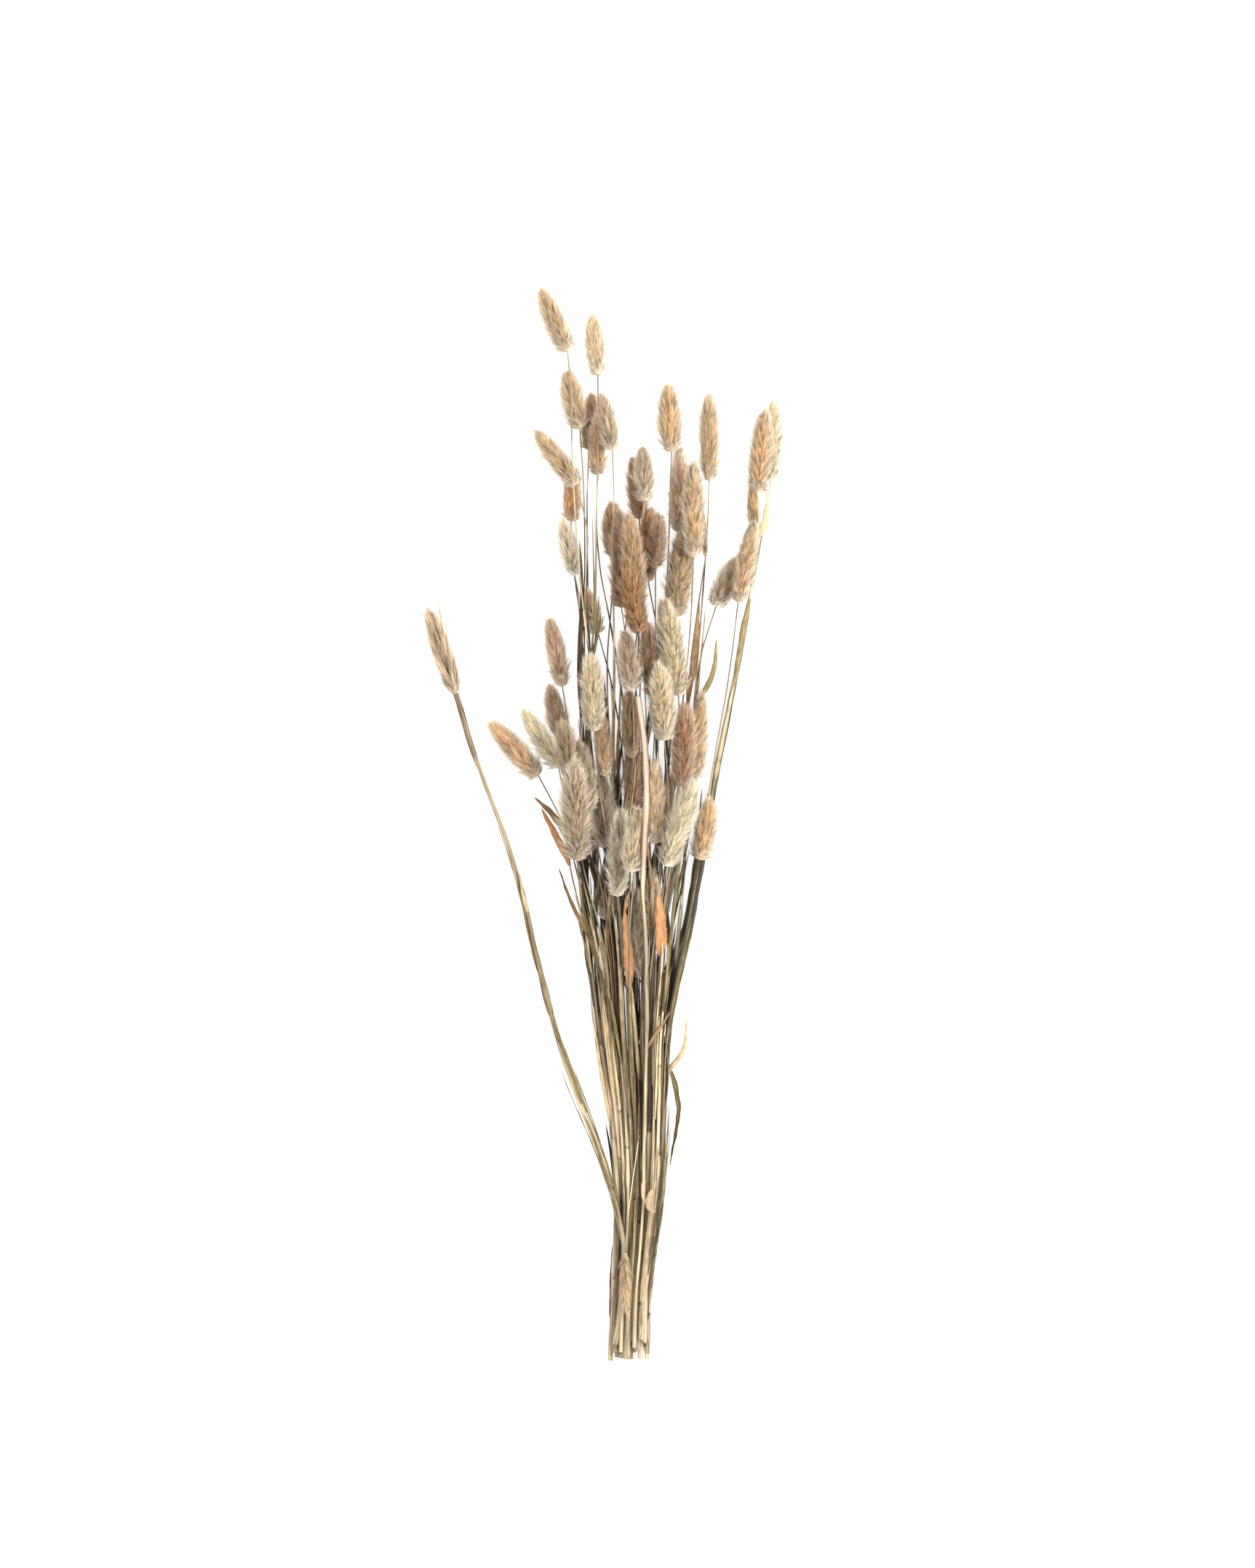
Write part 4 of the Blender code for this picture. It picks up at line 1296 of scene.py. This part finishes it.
def stem_rings(stalk, settings, draw):
    """Lengths along the stem with a radius, hue and shade at each."""
    path = Path(stalk.stem)
    hue = STEM_HUE_OF.get(stalk.name, draw.choice(STEM_HUES) + draw.uniform(-HUE_SPREAD, HUE_SPREAD))
    phase = draw.uniform(0, math.tau)

    def radius(run):
        rough = 1 + sum(depth * math.sin(run * pace + turn * phase) for depth, pace, turn in ROUGH_WAVES)
        return float(np.interp(run, path.marks, stalk.stem_radius)) * rough

    def tone(run):
        share = run / path.length
        if not stalk.has_head:
            return hue + (STRAW_FOOT_HUE - hue) * faded(path.at(run)[1])
        if stalk.name in STURDY:
            return SHEATH_HUE if run > path.length - SHEATHED else hue
        if stalk.name in STOUT:
            return STOUT_HUE
        neck = min(1.0, max(0.0, share - NECK_FROM) / NECK_FADE)
        return hue + FOOT_PALE * (1 - 2 * share) + (NECK_HUE - hue) * NECK_HOLD * neck

    hollow = radius(0) * HOLLOW_SHARE
    rings = [(HOLLOW_DEPTH, hollow, hue, HOLLOW_SHADE), (0.0, hollow, hue, RIM_SHADE)]
    joints = []
    run = draw.uniform(*FIRST_JOINT)
    while run < path.length * (1 - BARE_TOP_SHARE) and stalk.has_head:
        gap = draw.uniform(*JOINT_GAP)
        joints.append((run, run + gap * draw.uniform(*SHEATH_SHARE)))
        run += gap
    marks = np.append(np.arange(0, path.length, STEM_STEP), path.length)
    for joint, end in joints:
        marks = marks[(abs(marks - joint) > JOINT_ROOM) & (abs(marks - end) > SHEATH_ROOM)]
    events = [(mark, "plain") for mark in marks]
    events += [(joint, "joint") for joint, _ in joints] + [(end, "end") for _, end in joints]
    swell, shift = 1.0, 0.0
    for mark, kind in sorted(events):
        r, own = radius(mark), tone(mark)
        if kind == "plain":
            rings.append((mark, r * swell, own + shift, 0.0))
        elif kind == "joint":
            start, middle = JOINT_SHADES
            rings += [
                (mark - JOINT_LENGTH, r * swell, own + shift, 0.0),
                (mark - JOINT_LENGTH / 2, r * (1 + settings.joint_swell), own + shift - JOINT_HUE, start),
                (mark, r * JOINT_FOOT, own - JOINT_HUE, middle),
            ]
            swell = 1 + settings.sheath_swell * draw.uniform(*SHEATH_SPREAD)
            shift = draw.uniform(*SHEATH_SHIFT)
            rings.append((mark + JOINT_LENGTH, r * swell, own + shift, 0.0))
        else:
            start, after = SHEATH_SHADES
            rings.append((mark, r * swell, own + shift, start))
            rings.append((mark + SHEATH_EDGE, r * SHEATH_EDGE_SLIM, own, after))
            swell, shift = 1.0, 0.0
    return path, rings


def stem_mesh(stalk, settings, draw):
    """A stem as one closed tube, hollow at its cut foot."""
    path, rings = stem_rings(stalk, settings, draw)
    runs, radii, hues, shades = (np.array(column, float) for column in zip(*rings))
    places = path.at(runs)
    beside = np.interp(runs, path.marks, stalk.beside)
    # Painted shade where other stems lie on top.
    shades = shades + DEEP_SHADE * np.interp(runs, path.marks, stalk.above)
    if stalk.has_head:
        places = np.vstack([places, stalk.base.lerp(stalk.tip, HEAD_GRIP)])
        columns = (radii, hues, shades, beside)
        radii, hues, shades, beside = (np.append(column, column[-1]) for column in columns)
    grain = Grain()
    add_tube(grain, places, radii, hues, shades, ribs=settings.rib_depth, beside=beside)
    return grain.mesh(stalk.name + "_stem", stalk.turned)


def rooted(stalk, leaf):
    """The leaf with its line led back to the stem that it grows from."""
    points, sides, widths = leaf
    height = 2 * points[0].y - points[min(ROOT_REACH, len(points) - 1)].y
    root = min(stalk.stem, key=lambda place: abs(place.y - height))
    turned = [sides[0]]
    for side in sides:
        turned.append(side if side.dot(turned[-1]) > 0 else -side)
    return [root] + points, turned, widths


def add_leaf(grain, points, sides, wide, settings, draw, step=LEAF_STEP, columns=LEAF_COLUMNS, shade=0.0):
    """A leaf as a thin closed blade along its points."""
    path = Path(points)
    steps = max(FEWEST_LEAF_STEPS, round(path.length / step))
    run = np.linspace(0, path.length, steps + 1)
    share = run / path.length
    taper = np.minimum(LEAF_FOOT + LEAF_OPENING * share, 1.0) * np.sqrt(np.clip(1 - share**LEAF_POINT, 0, 1))
    width = wide * np.clip(taper, LEAF_END, 1)
    side = path.at(run, np.array(sides, float))
    add_blade(grain, smoothed(path.at(run), 1), side, width, shade, settings, draw, columns)


def placed_leaf(name, grain, stalk, tone):
    """A leaf, a scrap or a stem's ribbons as a finished piece."""
    placed(name, grain.mesh(name, stalk.turned), finished("papery_" + tone, write_leaf, tone), stalk, tone)


def scrap(stalk, settings, draw):
    """A curled scrap of leaf that lies on the stalk's first leaf."""
    grain = Grain()
    height = max(point.z for point in stalk.leaves[0][0]) + SCRAP_LIFT
    points = [Vector((x, y, height)) for x, y in SCRAP_LINE]
    across = (points[-1] - points[0]).cross(Vector((0, 0, 1))).normalized()
    across.z = SCRAP_TILT * across.x
    add_leaf(grain, points, [across.normalized()] * len(points), SCRAP_WIDTH, settings, draw, SCRAP_STEP)
    return grain


def ribbon_leaves(stalk, settings, draw):
    """Old narrow leaves that lie along the stem, as points, sides, width and shade."""
    path = Path(stalk.stem)
    found = []
    for _ in range(draw.randint(*settings.count)):
        length = draw.uniform(*settings.length) / MM
        start = draw.uniform(0.0, RIBBON_TOP) * path.length
        end = min(path.length, start + length)
        run = np.linspace(start, end, max(FEWEST_LEAF_STEPS, int((end - start) / RIBBON_STEP)))
        places = path.at(run)
        sides, others = crosswise(places)
        turn = draw.gauss(0, 1.0)
        out = others * math.cos(turn) + sides * math.sin(turn)
        out *= np.sign(out[:, 2:3].mean()) if abs(turn) < RIBBON_STEEP else 1
        across = unit(np.cross(out, np.gradient(places, axis=0)))
        share = np.linspace(0, 1, len(run))[:, None]
        radius = np.interp(run, path.marks, stalk.stem_radius)[:, None]
        drift = draw.uniform(-1, 1) * draw.uniform(*RIBBON_DRIFT)
        wave = RIBBON_WAVE * np.sin(share * draw.uniform(*RIBBON_WAVES) + draw.uniform(0, math.tau))
        rise = radius * RIBBON_OUT + RIBBON_CLEAR + RIBBON_RISE * share**2
        points = places + out * rise + across * (drift * share**2 + wave * share)
        wide = draw.uniform(*settings.width) / MM
        shade = DEEP_SHADE * np.interp(run, path.marks, stalk.above).mean() + draw.uniform(*RIBBON_SHADE)
        found.append((points, across, wide, shade))
    return found


def make_head(stalk, settings, tree, strand, draw):
    """One head: its core with the strands of the node tree, as a plain mesh."""
    fullness = HEAD_FULLNESS + draw.uniform(*FULLNESS_SPREAD)
    roundness = HEAD_ROUNDNESS + draw.uniform(*ROUNDNESS_SPREAD)
    name = stalk.name + "_head"
    core = bpy.data.objects.new("core", head_core(name, stalk, fullness, roundness))
    bpy.context.scene.collection.objects.link(core)
    base, tip = stalk.upright(stalk.base) * MM, stalk.upright(stalk.tip) * MM
    modifier = core.modifiers.new("Fluff", "NODES")
    modifier.node_group = tree
    tone = SLOT_OF[stalk.name]
    sizes = {name: getattr(settings, name.lower().replace(" ", "_")) for name in STRAND_SIZES}
    inputs = {
        "Strand": strand,
        "Base": base,
        "Axis": (tip - base).normalized(),
        "Length": (tip - base).length,
        "Radius": head_radius(stalk) * MM,
        "Fullness": fullness,
        "Roundness": roundness,
        **{name: size / MM**2 if "density" in name else size for name, size in sizes.items()},
        "Seed": draw.randrange(MOST_SEEDS),
        "Finish": finished("fluff_" + tone, write_fluff, tone),
    }
    for label, factor in RAGGED.get(stalk.name, {}).items():
        inputs[label] *= factor
    for label, value in inputs.items():
        modifier[tree.interface.items_tree[label].identifier] = value
    bpy.context.view_layer.update()
    graph = bpy.context.evaluated_depsgraph_get()
    mesh = bpy.data.meshes.new_from_object(core.evaluated_get(graph))
    bpy.data.objects.remove(core)
    mesh.name = name
    carry(mesh, "gloom", [stalk.gloom] * len(mesh.vertices))
    soften(mesh)
    placed(name, mesh, None, stalk, tone)


def soften(mesh):
    """Shade each strand as the round head that it stands on."""
    lean = mesh.attributes["lean"]
    normals = np.empty(len(mesh.vertices) * 3, np.float32)
    lean.data.foreach_get("vector", normals)
    normals = normals.reshape(-1, 3)
    normals /= np.linalg.norm(normals, axis=1, keepdims=True) + LEAST
    mesh.attributes.remove(lean)
    mesh.shade_smooth()
    mesh.normals_split_custom_set_from_vertices(normals.tolist())


def make_floor(settings):
    """A wide plain floor under the bunch."""
    bpy.ops.mesh.primitive_plane_add(size=FLOOR_SIZE, location=(0, 0, -FLOOR_GAP))
    floor = bpy.context.object
    floor.name = "floor"
    floor.data.materials.append(finished("floor", write_floor, settings))
    floor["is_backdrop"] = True


def make_light(scene, settings):
    """An even bright sky and one large soft light from the right."""
    world = bpy.data.worlds.new("studio")
    world.use_nodes = True
    sky = world.node_tree.nodes["Background"]
    sky.inputs["Color"].default_value = (1.0, 1.0, 1.0, 1)
    sky.inputs["Strength"].default_value = settings.sky_strength
    scene.world = world
    lamp = bpy.data.lights.new("key", "AREA")
    lamp.shape = "RECTANGLE"
    lamp.size, lamp.size_y = KEY_SIZE
    lamp.energy = settings.key_power
    key = bpy.data.objects.new("key", lamp)
    key.location = KEY_PLACE
    key.rotation_euler = (Vector((0, 0, 0)) - Vector(KEY_PLACE)).to_track_quat("-Z", "Y").to_euler()
    scene.collection.objects.link(key)
    scene.view_settings.view_transform = "Standard"


def make_camera(scene):
    """A camera straight above, with a long lens, that frames the picture."""
    data = bpy.data.cameras.new("camera")
    data.sensor_width = SENSOR
    data.lens = SENSOR * CAMERA_HEIGHT / PICTURE_HEIGHT
    data.clip_end = 100.0
    camera = bpy.data.objects.new("camera", data)
    camera.location = (*PICTURE_CENTRE, CAMERA_HEIGHT)
    scene.collection.objects.link(camera)
    scene.camera = camera


class GRASS_PT_panel(bpy.types.Panel):
    """The bunch's operators and settings"""

    bl_idname = "GRASS_PT_panel"
    bl_label = "Dried bunny tail grass"
    bl_space_type = "VIEW_3D"
    bl_region_type = "UI"
    bl_category = "Grass"

    def draw(self, context):
        settings = context.scene.grass
        for operator, group in (
            (GRASS_OT_stems, settings.stems),
            (GRASS_OT_heads, settings.fluff),
            (GRASS_OT_leaves, settings.leaves),
            (GRASS_OT_ribbons, settings.ribbons),
            (GRASS_OT_stage, settings.stage),
        ):
            box = self.layout.box()
            box.operator(operator.bl_idname)
            for name in group.__annotations__:
                box.prop(group, name)


CLASSES = (
    StemSettings,
    FluffSettings,
    LeafSettings,
    RibbonSettings,
    StageSettings,
    GrassSettings,
    GRASS_OT_stems,
    GRASS_OT_heads,
    GRASS_OT_leaves,
    GRASS_OT_ribbons,
    GRASS_OT_stage,
    GRASS_PT_panel,
)


def register():
    for cls in CLASSES:
        bpy.utils.register_class(cls)
    bpy.types.Scene.grass = PointerProperty(type=GrassSettings)


def unregister():
    del bpy.types.Scene.grass
    for cls in reversed(CLASSES):
        bpy.utils.unregister_class(cls)


def write_sizes():
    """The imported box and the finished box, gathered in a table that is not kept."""
    boxes = {"cad": CAD_BOX, "visual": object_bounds()}
    {name: [list(low), list(high)] for name, (low, high) in boxes.items()}


def main():
    register()
    bpy.ops.grass.stems()
    bpy.ops.grass.heads()
    bpy.ops.grass.leaves()
    bpy.ops.grass.ribbons()
    bpy.ops.grass.stage()
    write_sizes()


if __name__ == "__main__":
    main()
